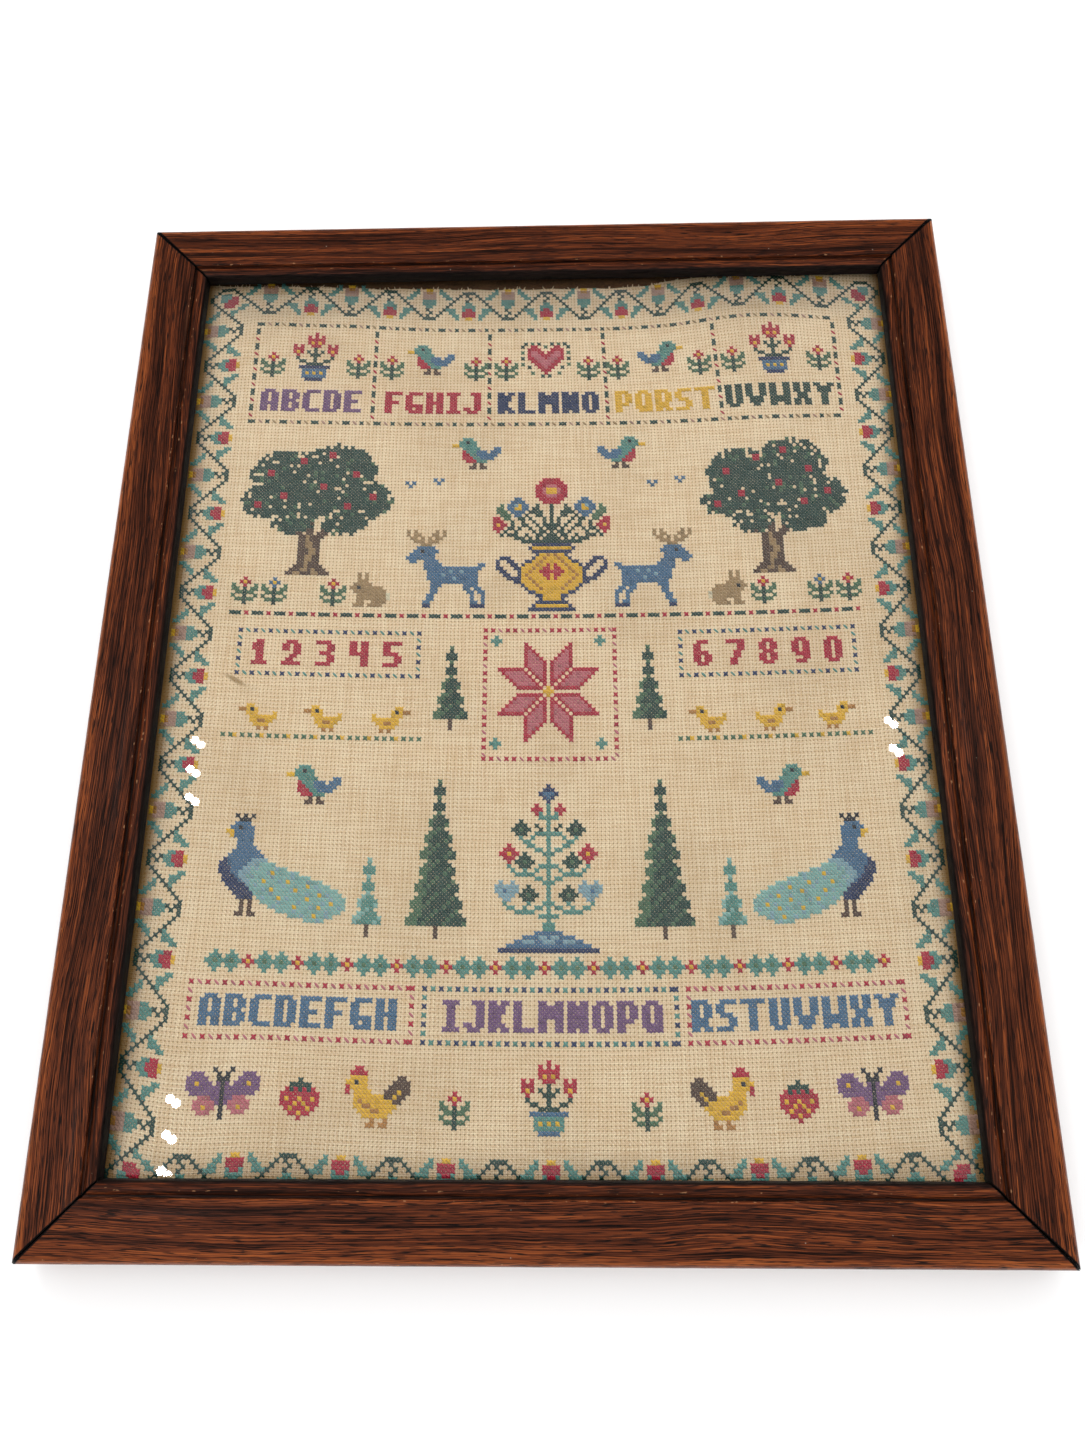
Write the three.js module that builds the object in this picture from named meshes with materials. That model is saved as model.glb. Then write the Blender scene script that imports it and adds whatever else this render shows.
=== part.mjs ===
// A framed cross stitch sampler, lying on its back.
//
// Four mitred wooden rails hold a pane of glass, and behind the glass the stitched linen
// lies on its board. Lengths are millimetres. X runs across the picture, Y runs up the
// picture and Z comes out of its face. The origin is the middle of the back, on the
// surface that the frame lies on.

import * as THREE from 'three';

// The frame: its outer size, and the thickness from the back to the flat of the face.
const FRAME = { width: 435, height: 522, thickness: 22 };

// The moulding, measured from the outer edge inwards and from the face downwards.
const MOULDING = {
  width: 32,
  outerRound: 3.8,
  backRound: 0.8,
  flatEnd: 25,
  arris: 0.5,
  grooveDepth: 1.7,
  grooveEnd: 26.4,
  beadCrest: 28.8,
  beadCrestRise: 0.85,
  sightDrop: 2.4,
};

// The rabbet behind the sight edge, where the glass, the cloth and the board lie.
const RABBET = { width: 6, lipBack: 14.1 };

// Slits and clearances between the pieces.
const MITRE_SLIT = 0.5;
const SEAT_GAP = 0.3;
const RABBET_CLEARANCE = 0.8;

const GLASS_THICKNESS = 2;
const CLOTH_THICKNESS = 1.1;
const BOARD_THICKNESS = 3.5;

// How far the cloth runs on behind the rails, past the edge of the opening.
const CLOTH_OVERLAP = 3.6;

// Room left under the glass above the flat of the cloth, which the folds rise into.
const FOLD_ROOM = 1.5;

// The cloth's top edge is uneven: on the left it sits low and bares a strip of the board.
// x runs across the picture, and rise is measured up from the edge of the opening.
const TOP_EDGE = [
  { x: -195, rise: 2.4 },
  { x: -136, rise: 0.8 },
  { x: -79, rise: -1.7 },
  { x: -23, rise: -3.3 },
  { x: 44, rise: -3.4 },
  { x: 58, rise: -1.9 },
  { x: 82, rise: 2.6 },
  { x: 195, rise: 3.6 },
];
const TOP_EDGE_RAGGED = 0.35;
const TOP_EDGE_RAGGED_PITCH = 21;

// Soft ridges in the cloth, each along a straight line, with its height and half width.
const RIDGES = [
  { name: 'right border, upper', x1: 163, y1: 46, x2: 165, y2: 4, height: 0.6, spread: 5 },
  { name: 'right border, middle', x1: 166, y1: -26, x2: 167, y2: -118, height: 1, spread: 4 },
  { name: 'left border, lower', x1: -163, y1: -108, x2: -164, y2: -196, height: 0.85, spread: 4.5 },
  { name: 'left border, middle', x1: -161, y1: 46, x2: -165, y2: -42, height: 0.5, spread: 6 },
  { name: 'under the top edge', x1: -60, y1: 217, x2: 70, y2: 219, height: 0.5, spread: 6 },
  { name: 'top right', x1: 96, y1: 204, x2: 172, y2: 190, height: 0.45, spread: 9 },
  { name: 'middle, left', x1: -120, y1: -64, x2: -30, y2: -48, height: 0.4, spread: 14 },
  { name: 'middle, right', x1: 40, y1: 28, x2: 128, y2: 12, height: 0.4, spread: 15 },
];
const RIDGE_END_FADE = 12;

// The spacing of the cloth's mesh, finer where the border's ridges run.
const CLOTH_STEP = { coarse: 15, fine: 2.5, bandFrom: 150, bandTo: 180, rows: 32 };

const CURVE_SEGMENTS = 8;

const opening = {
  width: FRAME.width - 2 * MOULDING.width,
  height: FRAME.height - 2 * MOULDING.width,
};

// Levels above the surface that the frame lies on, from the glass down to the board.
const glassBack = RABBET.lipBack - SEAT_GAP - GLASS_THICKNESS;
const clothTop = glassBack - FOLD_ROOM;
const clothBack = clothTop - CLOTH_THICKNESS;
const boardTop = clothBack - SEAT_GAP;

// The pane and the board fill the rabbet but for their clearance.
const insertWidth = opening.width + 2 * (RABBET.width - RABBET_CLEARANCE);
const insertHeight = opening.height + 2 * (RABBET.width - RABBET_CLEARANCE);

const materials = {
  stainedOak: { color: 0x5a2c1b, roughness: 0.42, metalness: 0 },
  glass: { color: 0xe4ebe8, roughness: 0.05, metalness: 0 },
  linen: { color: 0xd5c39f, roughness: 0.92, metalness: 0 },
  pasteboard: { color: 0x6e4a2c, roughness: 0.85, metalness: 0 },
};

function namedMesh(name, geometry, finish) {
  const mesh = new THREE.Mesh(geometry, new THREE.MeshStandardMaterial(finish));
  mesh.name = name;
  return mesh;
}

// The moulding's section: X is the distance in from the outer edge, Y the height.
function mouldingSection() {
  const face = FRAME.thickness;
  const grooveFloor = face - MOULDING.grooveDepth;
  const grooveStart = MOULDING.flatEnd + MOULDING.arris;
  const rabbetWall = MOULDING.width - RABBET.width;
  const section = new THREE.Shape();
  section.moveTo(MOULDING.backRound, 0);
  section.lineTo(rabbetWall, 0);
  section.lineTo(rabbetWall, RABBET.lipBack);
  section.lineTo(MOULDING.width, RABBET.lipBack);
  section.lineTo(MOULDING.width, face - MOULDING.sightDrop);
  section.quadraticCurveTo(
    MOULDING.beadCrest, face + MOULDING.beadCrestRise,
    MOULDING.grooveEnd, grooveFloor,
  );
  section.lineTo(grooveStart, grooveFloor);
  section.lineTo(grooveStart, face - MOULDING.arris);
  section.lineTo(MOULDING.flatEnd, face);
  section.lineTo(MOULDING.outerRound, face);
  section.absarc(
    MOULDING.outerRound, face - MOULDING.outerRound, MOULDING.outerRound,
    Math.PI / 2, Math.PI, false,
  );
  section.lineTo(0, MOULDING.backRound);
  section.closePath();
  return section;
}

// One rail lying along X at +Y, with its ends cut to the mitre. Each point of the section
// stops short by its distance from the outer edge, which makes the 45 degree cut.
function railGeometry(length, acrossFrame) {
  const geometry = new THREE.ExtrudeGeometry(mouldingSection(), {
    depth: 1,
    bevelEnabled: false,
    curveSegments: CURVE_SEGMENTS,
  });
  const slitShare = MITRE_SLIT / Math.SQRT2;
  const position = geometry.attributes.position;
  for (let i = 0; i < position.count; i += 1) {
    const inFromEdge = position.getX(i);
    const height = position.getY(i);
    const towardsEnd = 1 - 2 * position.getZ(i);
    const x = towardsEnd * (length / 2 - inFromEdge - slitShare);
    position.setXYZ(i, x, acrossFrame / 2 - inFromEdge, height);
  }
  geometry.computeVertexNormals();
  return geometry;
}

// A rail and the quarter turns that carry it from the top of the frame to its side.
function rail(name, length, acrossFrame, quarterTurns) {
  const mesh = namedMesh(name, railGeometry(length, acrossFrame), materials.stainedOak);
  mesh.rotation.z = quarterTurns * Math.PI / 2;
  return mesh;
}

// A flat rectangular panel in the rabbet, by the height of its underside.
function insertPanel(name, thickness, underside, finish) {
  const mesh = namedMesh(
    name, new THREE.BoxGeometry(insertWidth, insertHeight, thickness), finish,
  );
  mesh.position.z = underside + thickness / 2;
  return mesh;
}

function smoothBetween(from, to, share) {
  return from + (to - from) * share * share * (3 - 2 * share);
}

// The height of the cloth's top edge up the picture, at x across it.
function topEdgeAt(x) {
  let i = 0;
  while (i < TOP_EDGE.length - 2 && x > TOP_EDGE[i + 1].x) {
    i += 1;
  }
  const share = (x - TOP_EDGE[i].x) / (TOP_EDGE[i + 1].x - TOP_EDGE[i].x);
  const rise = smoothBetween(TOP_EDGE[i].rise, TOP_EDGE[i + 1].rise, share);
  const ragged = TOP_EDGE_RAGGED * Math.sin((x / TOP_EDGE_RAGGED_PITCH) * 2 * Math.PI);
  return opening.height / 2 + rise + ragged;
}

// How far the cloth stands off its flat at a point, as the sum of its ridges.
function foldHeight(x, y) {
  const point = new THREE.Vector2(x, y);
  return RIDGES.reduce((total, ridge) => {
    const start = new THREE.Vector2(ridge.x1, ridge.y1);
    const run = new THREE.Vector2(ridge.x2, ridge.y2).sub(start);
    const along = point.clone().sub(start).dot(run) / run.length();
    const aside = Math.abs(point.clone().sub(start).cross(run)) / run.length();
    const beyond = Math.max(0, -along, along - run.length());
    const fade = Math.exp(-((beyond / RIDGE_END_FADE) ** 2));
    return total + ridge.height * fade * Math.exp(-((aside / ridge.spread) ** 2));
  }, 0);
}

// Mesh lines across the cloth from edge to edge, close together in the two border bands.
function clothColumns(halfWidth) {
  const columns = [];
  let x = -halfWidth;
  while (x < halfWidth) {
    columns.push(x);
    const fromMiddle = Math.abs(x + CLOTH_STEP.fine / 2);
    const inBand = fromMiddle > CLOTH_STEP.bandFrom && fromMiddle < CLOTH_STEP.bandTo;
    x += inBand ? CLOTH_STEP.fine : Math.min(CLOTH_STEP.coarse, distanceToBand(x));
  }
  columns.push(halfWidth);
  return columns;
}

// The distance from x to the next start of a fine band, or no limit past the last one.
function distanceToBand(x) {
  const starts = [-CLOTH_STEP.bandTo, CLOTH_STEP.bandFrom];
  const ahead = starts.map((start) => start - x).filter((gap) => gap > CLOTH_STEP.fine / 2);
  return ahead.length > 0 ? Math.min(...ahead) : Infinity;
}

// The linen as one closed sheet: an upper and a lower skin that share the same folds,
// joined by a wall all round.
function clothGeometry() {
  const halfWidth = opening.width / 2 + CLOTH_OVERLAP;
  const bottom = -opening.height / 2 - CLOTH_OVERLAP;
  const columns = clothColumns(halfWidth);
  const across = columns.length;
  const up = CLOTH_STEP.rows + 1;
  const points = [];
  const faces = [];
  const skin = across * up;
  const quad = (a, b, c, d) => faces.push(a, b, c, a, c, d);

  for (const level of [clothBack, clothTop]) {
    for (let row = 0; row < up; row += 1) {
      for (const x of columns) {
        const y = bottom + (topEdgeAt(x) - bottom) * (row / CLOTH_STEP.rows);
        points.push(x, y, level + foldHeight(x, y));
      }
    }
  }
  for (let row = 0; row < up - 1; row += 1) {
    for (let column = 0; column < across - 1; column += 1) {
      const a = row * across + column;
      const d = a + across;
      quad(skin + a, skin + a + 1, skin + d + 1, skin + d);
      quad(a, d, d + 1, a + 1);
    }
  }
  for (let column = 0; column < across - 1; column += 1) {
    const low = column;
    const high = (up - 1) * across + column;
    quad(low, low + 1, skin + low + 1, skin + low);
    quad(high + 1, high, skin + high, skin + high + 1);
  }
  for (let row = 0; row < up - 1; row += 1) {
    const left = row * across;
    const right = left + across - 1;
    quad(left + across, left, skin + left, skin + left + across);
    quad(right, right + across, skin + right + across, skin + right);
  }

  const geometry = new THREE.BufferGeometry();
  geometry.setAttribute('position', new THREE.Float32BufferAttribute(points, 3));
  geometry.setIndex(faces);
  geometry.computeVertexNormals();
  return geometry;
}

const sampler = new THREE.Group();
sampler.add(
  rail('rail_top', FRAME.width, FRAME.height, 0),
  rail('rail_left', FRAME.height, FRAME.width, 1),
  rail('rail_bottom', FRAME.width, FRAME.height, 2),
  rail('rail_right', FRAME.height, FRAME.width, 3),
  insertPanel('glass_pane', GLASS_THICKNESS, glassBack, materials.glass),
  namedMesh('linen_cloth', clothGeometry(), materials.linen),
  insertPanel('backing_board', BOARD_THICKNESS, boardTop - BOARD_THICKNESS, materials.pasteboard),
);

export default sampler;
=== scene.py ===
"""A framed cross stitch sampler: the frame, glass, linen, crosses and board, dressed for a render.

Sizes are in millimetres and become metres when a mesh is made. X runs across the picture,
Y runs up it and Z comes out of its face, from the surface that the frame lies on.
"""
import logging
import math
from contextlib import contextmanager
from dataclasses import dataclass, field
from enum import Enum
from typing import Callable, Iterator, Sequence

import bmesh
import bpy
import numpy as np
from mathutils import Matrix, Vector


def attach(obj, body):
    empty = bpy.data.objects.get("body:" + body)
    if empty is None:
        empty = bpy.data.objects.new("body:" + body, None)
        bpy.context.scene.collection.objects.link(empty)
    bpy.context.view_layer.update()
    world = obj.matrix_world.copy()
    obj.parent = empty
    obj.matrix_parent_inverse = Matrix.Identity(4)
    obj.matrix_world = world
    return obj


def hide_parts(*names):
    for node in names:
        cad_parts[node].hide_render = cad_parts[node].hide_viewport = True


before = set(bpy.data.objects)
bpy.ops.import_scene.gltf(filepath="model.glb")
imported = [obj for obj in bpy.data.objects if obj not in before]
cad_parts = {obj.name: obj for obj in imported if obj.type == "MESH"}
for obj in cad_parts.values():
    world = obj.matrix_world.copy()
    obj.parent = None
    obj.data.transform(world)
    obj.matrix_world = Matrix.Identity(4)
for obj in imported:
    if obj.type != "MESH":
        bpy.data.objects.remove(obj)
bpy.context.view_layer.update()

LOG = logging.getLogger("sampler")

MM = 0.001
BODY = "root"


def tint(code: str) -> tuple[float, float, float, float]:
    """Turn a colour as it is seen on a screen into the shader's own linear colour.

    Args:
        code: Six hexadecimal digits after a hash sign.

    Returns:
        Red, green, blue and a full alpha.
    """
    parts = [int(code[i:i + 2], 16) / 255 for i in (1, 3, 5)]
    linear = [p / 12.92 if p <= 0.04045 else ((p + 0.055) / 1.055) ** 2.4 for p in parts]
    return (linear[0], linear[1], linear[2], 1.0)


class Side(Enum):
    """The four sides of the frame, each with its plain name and its quarter turns."""

    TOP = ("top", 0)
    LEFT = ("left", 1)
    BOTTOM = ("bottom", 2)
    RIGHT = ("right", 3)

    def __init__(self, word: str, turns: int) -> None:
        """Keep the name, and the turns from the top, anticlockwise as the picture is seen."""
        self.word = word
        self.turns = turns

    @property
    def upright(self) -> bool:
        """Whether the rail runs up the picture."""
        return self.turns % 2 == 1


class Part(Enum):
    """What a pick in edit mode takes."""

    VERTS = "VERT"
    EDGES = "EDGE"


class Bench:
    """The making of meshes: operators on what has been picked by its place."""

    @staticmethod
    def clear() -> None:
        """Leave edit mode and leave nothing selected."""
        if bpy.context.mode != "OBJECT":
            bpy.ops.object.mode_set(mode="OBJECT")
        bpy.ops.object.select_all(action="DESELECT")

    @staticmethod
    def hold(piece: bpy.types.Object) -> None:
        """Select one piece alone and make it the active one."""
        Bench.clear()
        piece.select_set(True)
        bpy.context.view_layer.objects.active = piece

    @staticmethod
    def settle(piece: bpy.types.Object) -> None:
        """Put a piece's place, turn and scale into its mesh."""
        Bench.hold(piece)
        bpy.ops.object.transform_apply(location=True, rotation=True, scale=True)

    @staticmethod
    def block(name: str, low: Sequence[float], high: Sequence[float]) -> bpy.types.Object:
        """Add a box between two corners.

        Args:
            name: The new piece's name.
            low: Its lowest corner, in millimetres.
            high: Its highest corner, in millimetres.

        Returns:
            The box, with its place in its mesh.
        """
        Bench.clear()
        middle = [(a + b) / 2 * MM for a, b in zip(low, high)]
        size = [(b - a) * MM for a, b in zip(low, high)]
        bpy.ops.mesh.primitive_cube_add(size=1.0, location=middle, scale=size)
        piece = bpy.context.active_object
        piece.name = name
        piece.data.name = name
        Bench.settle(piece)
        return piece

    @staticmethod
    @contextmanager
    def editing(piece: bpy.types.Object) -> Iterator[None]:
        """Hold a piece in edit mode with all of it selected, for the length of a with block."""
        Bench.hold(piece)
        bpy.ops.object.mode_set(mode="EDIT")
        bpy.ops.mesh.select_all(action="SELECT")
        yield
        bpy.ops.object.mode_set(mode="OBJECT")

    @staticmethod
    def pick(piece: bpy.types.Object, part: Part, test: Callable[[Vector], bool]) -> None:
        """Select what passes a test at every one of its corners, in edit mode.

        Args:
            piece: The piece being edited.
            part: Whether vertices or edges are taken.
            test: Says of a corner's place, in millimetres, whether it will do.
        """
        bpy.ops.mesh.select_mode(type=part.value)
        bpy.ops.mesh.select_all(action="DESELECT")
        shape = bmesh.from_edit_mesh(piece.data)
        if part is Part.VERTS:
            chosen = [v for v in shape.verts if test(v.co / MM)]
        else:
            chosen = [e for e in shape.edges if all(test(v.co / MM) for v in e.verts)]
        for item in chosen:
            item.select_set(True)
        bmesh.update_edit_mesh(piece.data)

    @staticmethod
    def saw(point: Sequence[float], normal: Sequence[float], clear: bool = False) -> None:
        """Cut the whole piece by a plane, in edit mode.

        Args:
            point: A point of the plane, in millimetres.
            normal: The plane's normal.
            clear: Whether the side that the normal points to falls away and the cut is closed.
        """
        bpy.ops.mesh.select_mode(type="VERT")
        bpy.ops.mesh.select_all(action="SELECT")
        place = [c * MM for c in point]
        bpy.ops.mesh.bisect(
            plane_co=place, plane_no=normal, use_fill=clear, clear_outer=clear, threshold=1e-7
        )

    @staticmethod
    def move(shift: Sequence[float]) -> None:
        """Move what is selected, in millimetres."""
        bpy.ops.transform.translate(value=[c * MM for c in shift])

    @staticmethod
    def finish_with(piece: bpy.types.Object, kind: str, **settings: object) -> None:
        """Add a modifier to a piece and apply it.

        Args:
            piece: The piece.
            kind: The modifier's type.
            settings: The modifier's own properties.
        """
        Bench.hold(piece)
        modifier = piece.modifiers.new(kind.lower(), kind)
        for key, value in settings.items():
            setattr(modifier, key, value)
        bpy.ops.object.modifier_apply(modifier=modifier.name)

    @staticmethod
    def discard(piece: bpy.types.Object) -> None:
        """Throw a helper piece away, with its mesh."""
        mesh = piece.data
        bpy.data.objects.remove(piece)
        bpy.data.meshes.remove(mesh)

    @staticmethod
    def smooth(piece: bpy.types.Object, degrees: float) -> None:
        """Shade smooth wherever two faces meet at less than an angle."""
        Bench.hold(piece)
        bpy.ops.object.shade_smooth_by_angle(angle=math.radians(degrees))

    @staticmethod
    def corners(mesh: bpy.types.Mesh) -> np.ndarray:
        """Give the places of a mesh's corners, in metres."""
        places = np.empty(len(mesh.vertices) * 3)
        mesh.vertices.foreach_get("co", places)
        return places.reshape(-1, 3)

    @staticmethod
    def bring_in(name: str, data: bpy.types.ID) -> bpy.types.Object:
        """Put a mesh, a lamp or a camera into the scene as a new object."""
        made = bpy.data.objects.new(name, data)
        bpy.context.scene.collection.objects.link(made)
        return made


class Value:
    """What a node puts out, which is reckoned with as a number is."""

    def __init__(self, wiring: "Wiring", socket: bpy.types.NodeSocket) -> None:
        """Keep the output, and the wiring that it belongs to."""
        self.wiring = wiring
        self.socket = socket

    def __add__(self, other: "Number") -> "Value":
        """Add a number."""
        return self.wiring.math("ADD", self, other)

    def __sub__(self, other: "Number") -> "Value":
        """Take a number away."""
        return self.wiring.math("SUBTRACT", self, other)

    def __rsub__(self, other: "Number") -> "Value":
        """Take this away from a number."""
        return self.wiring.math("SUBTRACT", other, self)

    def __mul__(self, other: "Number") -> "Value":
        """Multiply by a number."""
        return self.wiring.math("MULTIPLY", self, other)

    def __truediv__(self, other: "Number") -> "Value":
        """Divide by a number."""
        return self.wiring.math("DIVIDE", self, other)

    def __rtruediv__(self, other: "Number") -> "Value":
        """Divide a number by this."""
        return self.wiring.math("DIVIDE", other, self)

    def __abs__(self) -> "Value":
        """Leave the sign out."""
        return self.wiring.math("ABSOLUTE", self)


Number = Value | float


class Wiring:
    """A material's or a group's nodes, added and joined one at a time."""

    def __init__(self, tree: bpy.types.NodeTree) -> None:
        """Work in one node tree."""
        self.tree = tree

    def fill(self, node: bpy.types.Node, inputs: dict) -> None:
        """Give a node's inputs, by name or number, plain values or other nodes' outputs."""
        for key, value in inputs.items():
            if isinstance(value, Value):
                self.tree.links.new(value.socket, node.inputs[key])
            else:
                node.inputs[key].default_value = value

    def node(self, kind: str, inputs: dict | None = None, **settings: object) -> bpy.types.Node:
        """Add a node.

        Args:
            kind: The node's type, without the word ShaderNode.
            inputs: What its inputs take.
            settings: The node's own properties.

        Returns:
            The node.
        """
        made = self.tree.nodes.new("ShaderNode" + kind)
        for key, value in settings.items():
            setattr(made, key, value)
        self.fill(made, inputs or {})
        return made

    def out(self, kind: str, inputs: dict, output: str | int = 0, **settings: object) -> Value:
        """Add a node as in node() and take one of its outputs, by name or number."""
        return Value(self, self.node(kind, inputs, **settings).outputs[output])

    def math(self, operation: str, a: Number, b: Number = 0.0) -> Value:
        """Work out one number from one or two by a Math node's operation."""
        return self.out("Math", {0: a, 1: b}, operation=operation)

    def blend(self, share: Number, a: object, b: object) -> Value:
        """Mix two colours, with a share of the second."""
        return self.out("Mix", {0: share, 6: a, 7: b}, 2, data_type="RGBA")

    def noise(self, place: Value, detail: float, roughness: float = 0.5, scale: Number = 1.0) -> Value:
        """Give noise of about 0 to 1, with some finer layers of some strength."""
        inputs = {"Vector": place, "Scale": scale, "Detail": detail, "Roughness": roughness}
        return self.out("TexNoise", inputs, "Fac")

    def stretch(self, place: Value, scale: Sequence[float]) -> Value:
        """Scale a vector by a different amount along each axis."""
        return self.out("VectorMath", {0: place, 1: scale}, operation="MULTIPLY")

    def place(self) -> Value:
        """Give the place on the piece, in millimetres."""
        return self.stretch(self.out("TexCoord", {}, "Object"), (1 / MM, 1 / MM, 1 / MM))

    def range(
        self, value: Value, low: float, high: float, start: float = 0.0, end: float = 1.0
    ) -> Value:
        """Carry low to high over to start to end, smoothly and without going beyond them."""
        inputs = {0: value, 1: low, 2: high, 3: start, 4: end}
        return self.out("MapRange", inputs, interpolation_type="SMOOTHSTEP")

    def bump(self, height: Value, strength: float, depth: float) -> Value:
        """Give the normals of a relief whose depth is in millimetres."""
        return self.out("Bump", {"Height": height, "Strength": strength, "Distance": depth * MM})

    def split(self, place: Value) -> tuple[Value, Value, Value]:
        """Take a vector apart into its three numbers."""
        parts = self.node("SeparateXYZ", {0: place}).outputs
        return Value(self, parts[0]), Value(self, parts[1]), Value(self, parts[2])

    def join(self, x: Number, y: Number, z: Number = 0.0) -> Value:
        """Put three numbers together as a vector."""
        return self.out("CombineXYZ", {0: x, 1: y, 2: z})


FLOAT = "NodeSocketFloat"
VECTOR = "NodeSocketVector"


class SharedEffect:
    """An effect that several finishes use: a node group with named inputs and outputs."""

    name = ""
    inputs: tuple = ()
    outputs: tuple = ()

    def tree(self) -> bpy.types.NodeTree:
        """Give the group, and build it the first time that it is asked for."""
        made = bpy.data.node_groups.get(self.name)
        if made is None:
            made = bpy.data.node_groups.new(self.name, "ShaderNodeTree")
            for label, kind, value in self.inputs:
                socket = made.interface.new_socket(name=label, in_out="INPUT", socket_type=kind)
                if value is not None:
                    socket.default_value = value
            for label in self.outputs:
                made.interface.new_socket(name=label, in_out="OUTPUT", socket_type=FLOAT)
            wiring = Wiring(made)
            start = made.nodes.new("NodeGroupInput")
            given = {label: Value(wiring, start.outputs[label]) for label, _, _ in self.inputs}
            results = self.wire(wiring, given)
            wiring.fill(made.nodes.new("NodeGroupOutput"), dict(zip(self.outputs, results)))
        return made

    def wire(self, wiring: Wiring, given: dict[str, Value]) -> tuple[Value, ...]:
        """Wire the inside of the group.

        Args:
            wiring: The group's nodes.
            given: The group's inputs, by name.

        Returns:
            What each output gives, in their order.
        """
        raise NotImplementedError

    def placed(self, wiring: Wiring, **values: object) -> dict[str, Value]:
        """Place the group in a material.

        Args:
            wiring: The material's nodes.
            values: What its inputs take, named in small letters with a low line for each space.

        Returns:
            The group's outputs, by name.
        """
        made = wiring.node("Group", node_tree=self.tree())
        wiring.fill(made, {key.replace("_", " ").title(): value for key, value in values.items()})
        return {label: Value(wiring, made.outputs[label]) for label in self.outputs}


class Grain(SharedEffect):
    """Long fibres, growth bands and open pores that run along a piece of wood or board."""

    name = "long_grain"
    inputs = (
        ("Place", VECTOR, None),
        ("Band Width", FLOAT, 3.0),
        ("Fibre Length", FLOAT, 40.0),
        ("Pore Length", FLOAT, 9.0),
        ("Pore Share", FLOAT, 0.36),
    )
    outputs = ("Bands", "Fibres", "Pores")
    fineness = 2.9

    def wire(self, wiring: Wiring, given: dict[str, Value]) -> tuple[Value, ...]:
        """Wire the bands, fibres and pores. See SharedEffect.wire for Args and Returns."""
        place, width = given["Place"], given["Band Width"]
        along, inward, height = wiring.split(place)
        bend = wiring.noise(wiring.stretch(place, (0.006, 0.02, 0.02)), 1.0)
        ripple = wiring.noise(wiring.stretch(place, (0.03, 0.08, 0.08)), 2.0)
        across = inward + bend * 16.0 + ripple * 1.6
        bands = wiring.noise(wiring.join(along * 0.004, across / width, height / width), 3.0, 0.62)
        fine_across, fine_height = across * self.fineness, height * self.fineness
        lines = wiring.join(along / given["Fibre Length"], fine_across, fine_height)
        fibres = wiring.noise(lines, 4.0, 0.6)
        slits = wiring.join(along / given["Pore Length"], fine_across, fine_height)
        openness = wiring.noise(slits, 1.0) + bands * 0.16 + given["Pore Share"]
        return bands, fibres, wiring.range(openness, 1.01, 1.08)


class EdgeWear(SharedEffect):
    """Rubbed and chipped patches near an edge, from the distance to that edge."""

    name = "edge_wear"
    inputs = (
        ("Place", VECTOR, None),
        ("Distance", FLOAT, 0.0),
        ("Reach", FLOAT, 1.5),
        ("Amount", FLOAT, 0.5),
    )
    outputs = ("Rubbed", "Chipped")

    def wire(self, wiring: Wiring, given: dict[str, Value]) -> tuple[Value, ...]:
        """Wire the rubbing and the chips. See SharedEffect.wire for Args and Returns."""
        near = wiring.math("MAXIMUM", 1.0 - abs(given["Distance"]) / given["Reach"], 0.0)
        long_patch = wiring.noise(wiring.stretch(given["Place"], (0.035, 0.3, 0.3)), 3.0)
        small_patch = wiring.noise(wiring.stretch(given["Place"], (0.35, 0.9, 0.9)), 2.0)
        rubbed = near * wiring.range(long_patch * 0.9 + given["Amount"], 0.72, 1.12)
        chance = wiring.range(small_patch + near * 0.16, 0.79, 0.83)
        return rubbed, chance * wiring.range(near, 0.05, 0.3)


class Dust(SharedEffect):
    """Single pale specks, as on anything that has hung in a room."""

    name = "fine_dust"
    inputs = (("Place", VECTOR, None), ("Spacing", FLOAT, 6.0), ("Speck Size", FLOAT, 0.04))
    outputs = ("Specks",)

    def wire(self, wiring: Wiring, given: dict[str, Value]) -> tuple[Value, ...]:
        """Wire the specks. See SharedEffect.wire for Args and Returns."""
        inputs = {"Vector": given["Place"], "Scale": 1.0 / given["Spacing"]}
        cells = wiring.node("TexVoronoi", inputs).outputs
        size = wiring.out("SeparateColor", {0: Value(wiring, cells["Color"])})
        reach = wiring.range(size, 0.6, 1.0) * given["Speck Size"]
        return (wiring.math("LESS_THAN", Value(wiring, cells["Distance"]), reach),)


class Ageing(SharedEffect):
    """Uneven fading and browning in soft clouds, for cloth, thread and board."""

    name = "ageing"
    inputs = (("Place", VECTOR, None), ("Cloud Size", FLOAT, 40.0))
    outputs = ("Faded", "Browned")
    shift = (310.0, 170.0, 0.0)

    def wire(self, wiring: Wiring, given: dict[str, Value]) -> tuple[Value, ...]:
        """Wire the clouds. See SharedEffect.wire for Args and Returns."""
        scale = 1.0 / given["Cloud Size"]
        faded = wiring.noise(given["Place"], 3.0, scale=scale)
        shifted = wiring.out("VectorMath", {0: given["Place"], 1: self.shift})
        browned = wiring.noise(shifted, 5.0, scale=scale)
        return faded, wiring.range(browned, 0.42, 0.72)


def new_material(name: str) -> tuple[bpy.types.Material, Wiring, bpy.types.Node]:
    """Start a material.

    Args:
        name: The material's name.

    Returns:
        The material, its wiring and its Principled BSDF.
    """
    material = bpy.data.materials.new(name)
    material.use_nodes = True
    return material, Wiring(material.node_tree), material.node_tree.nodes["Principled BSDF"]


def wear_finish(piece: bpy.types.Object, material: bpy.types.Material) -> None:
    """Give a piece one material all over."""
    piece.data.materials.clear()
    piece.data.materials.append(material)


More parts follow.
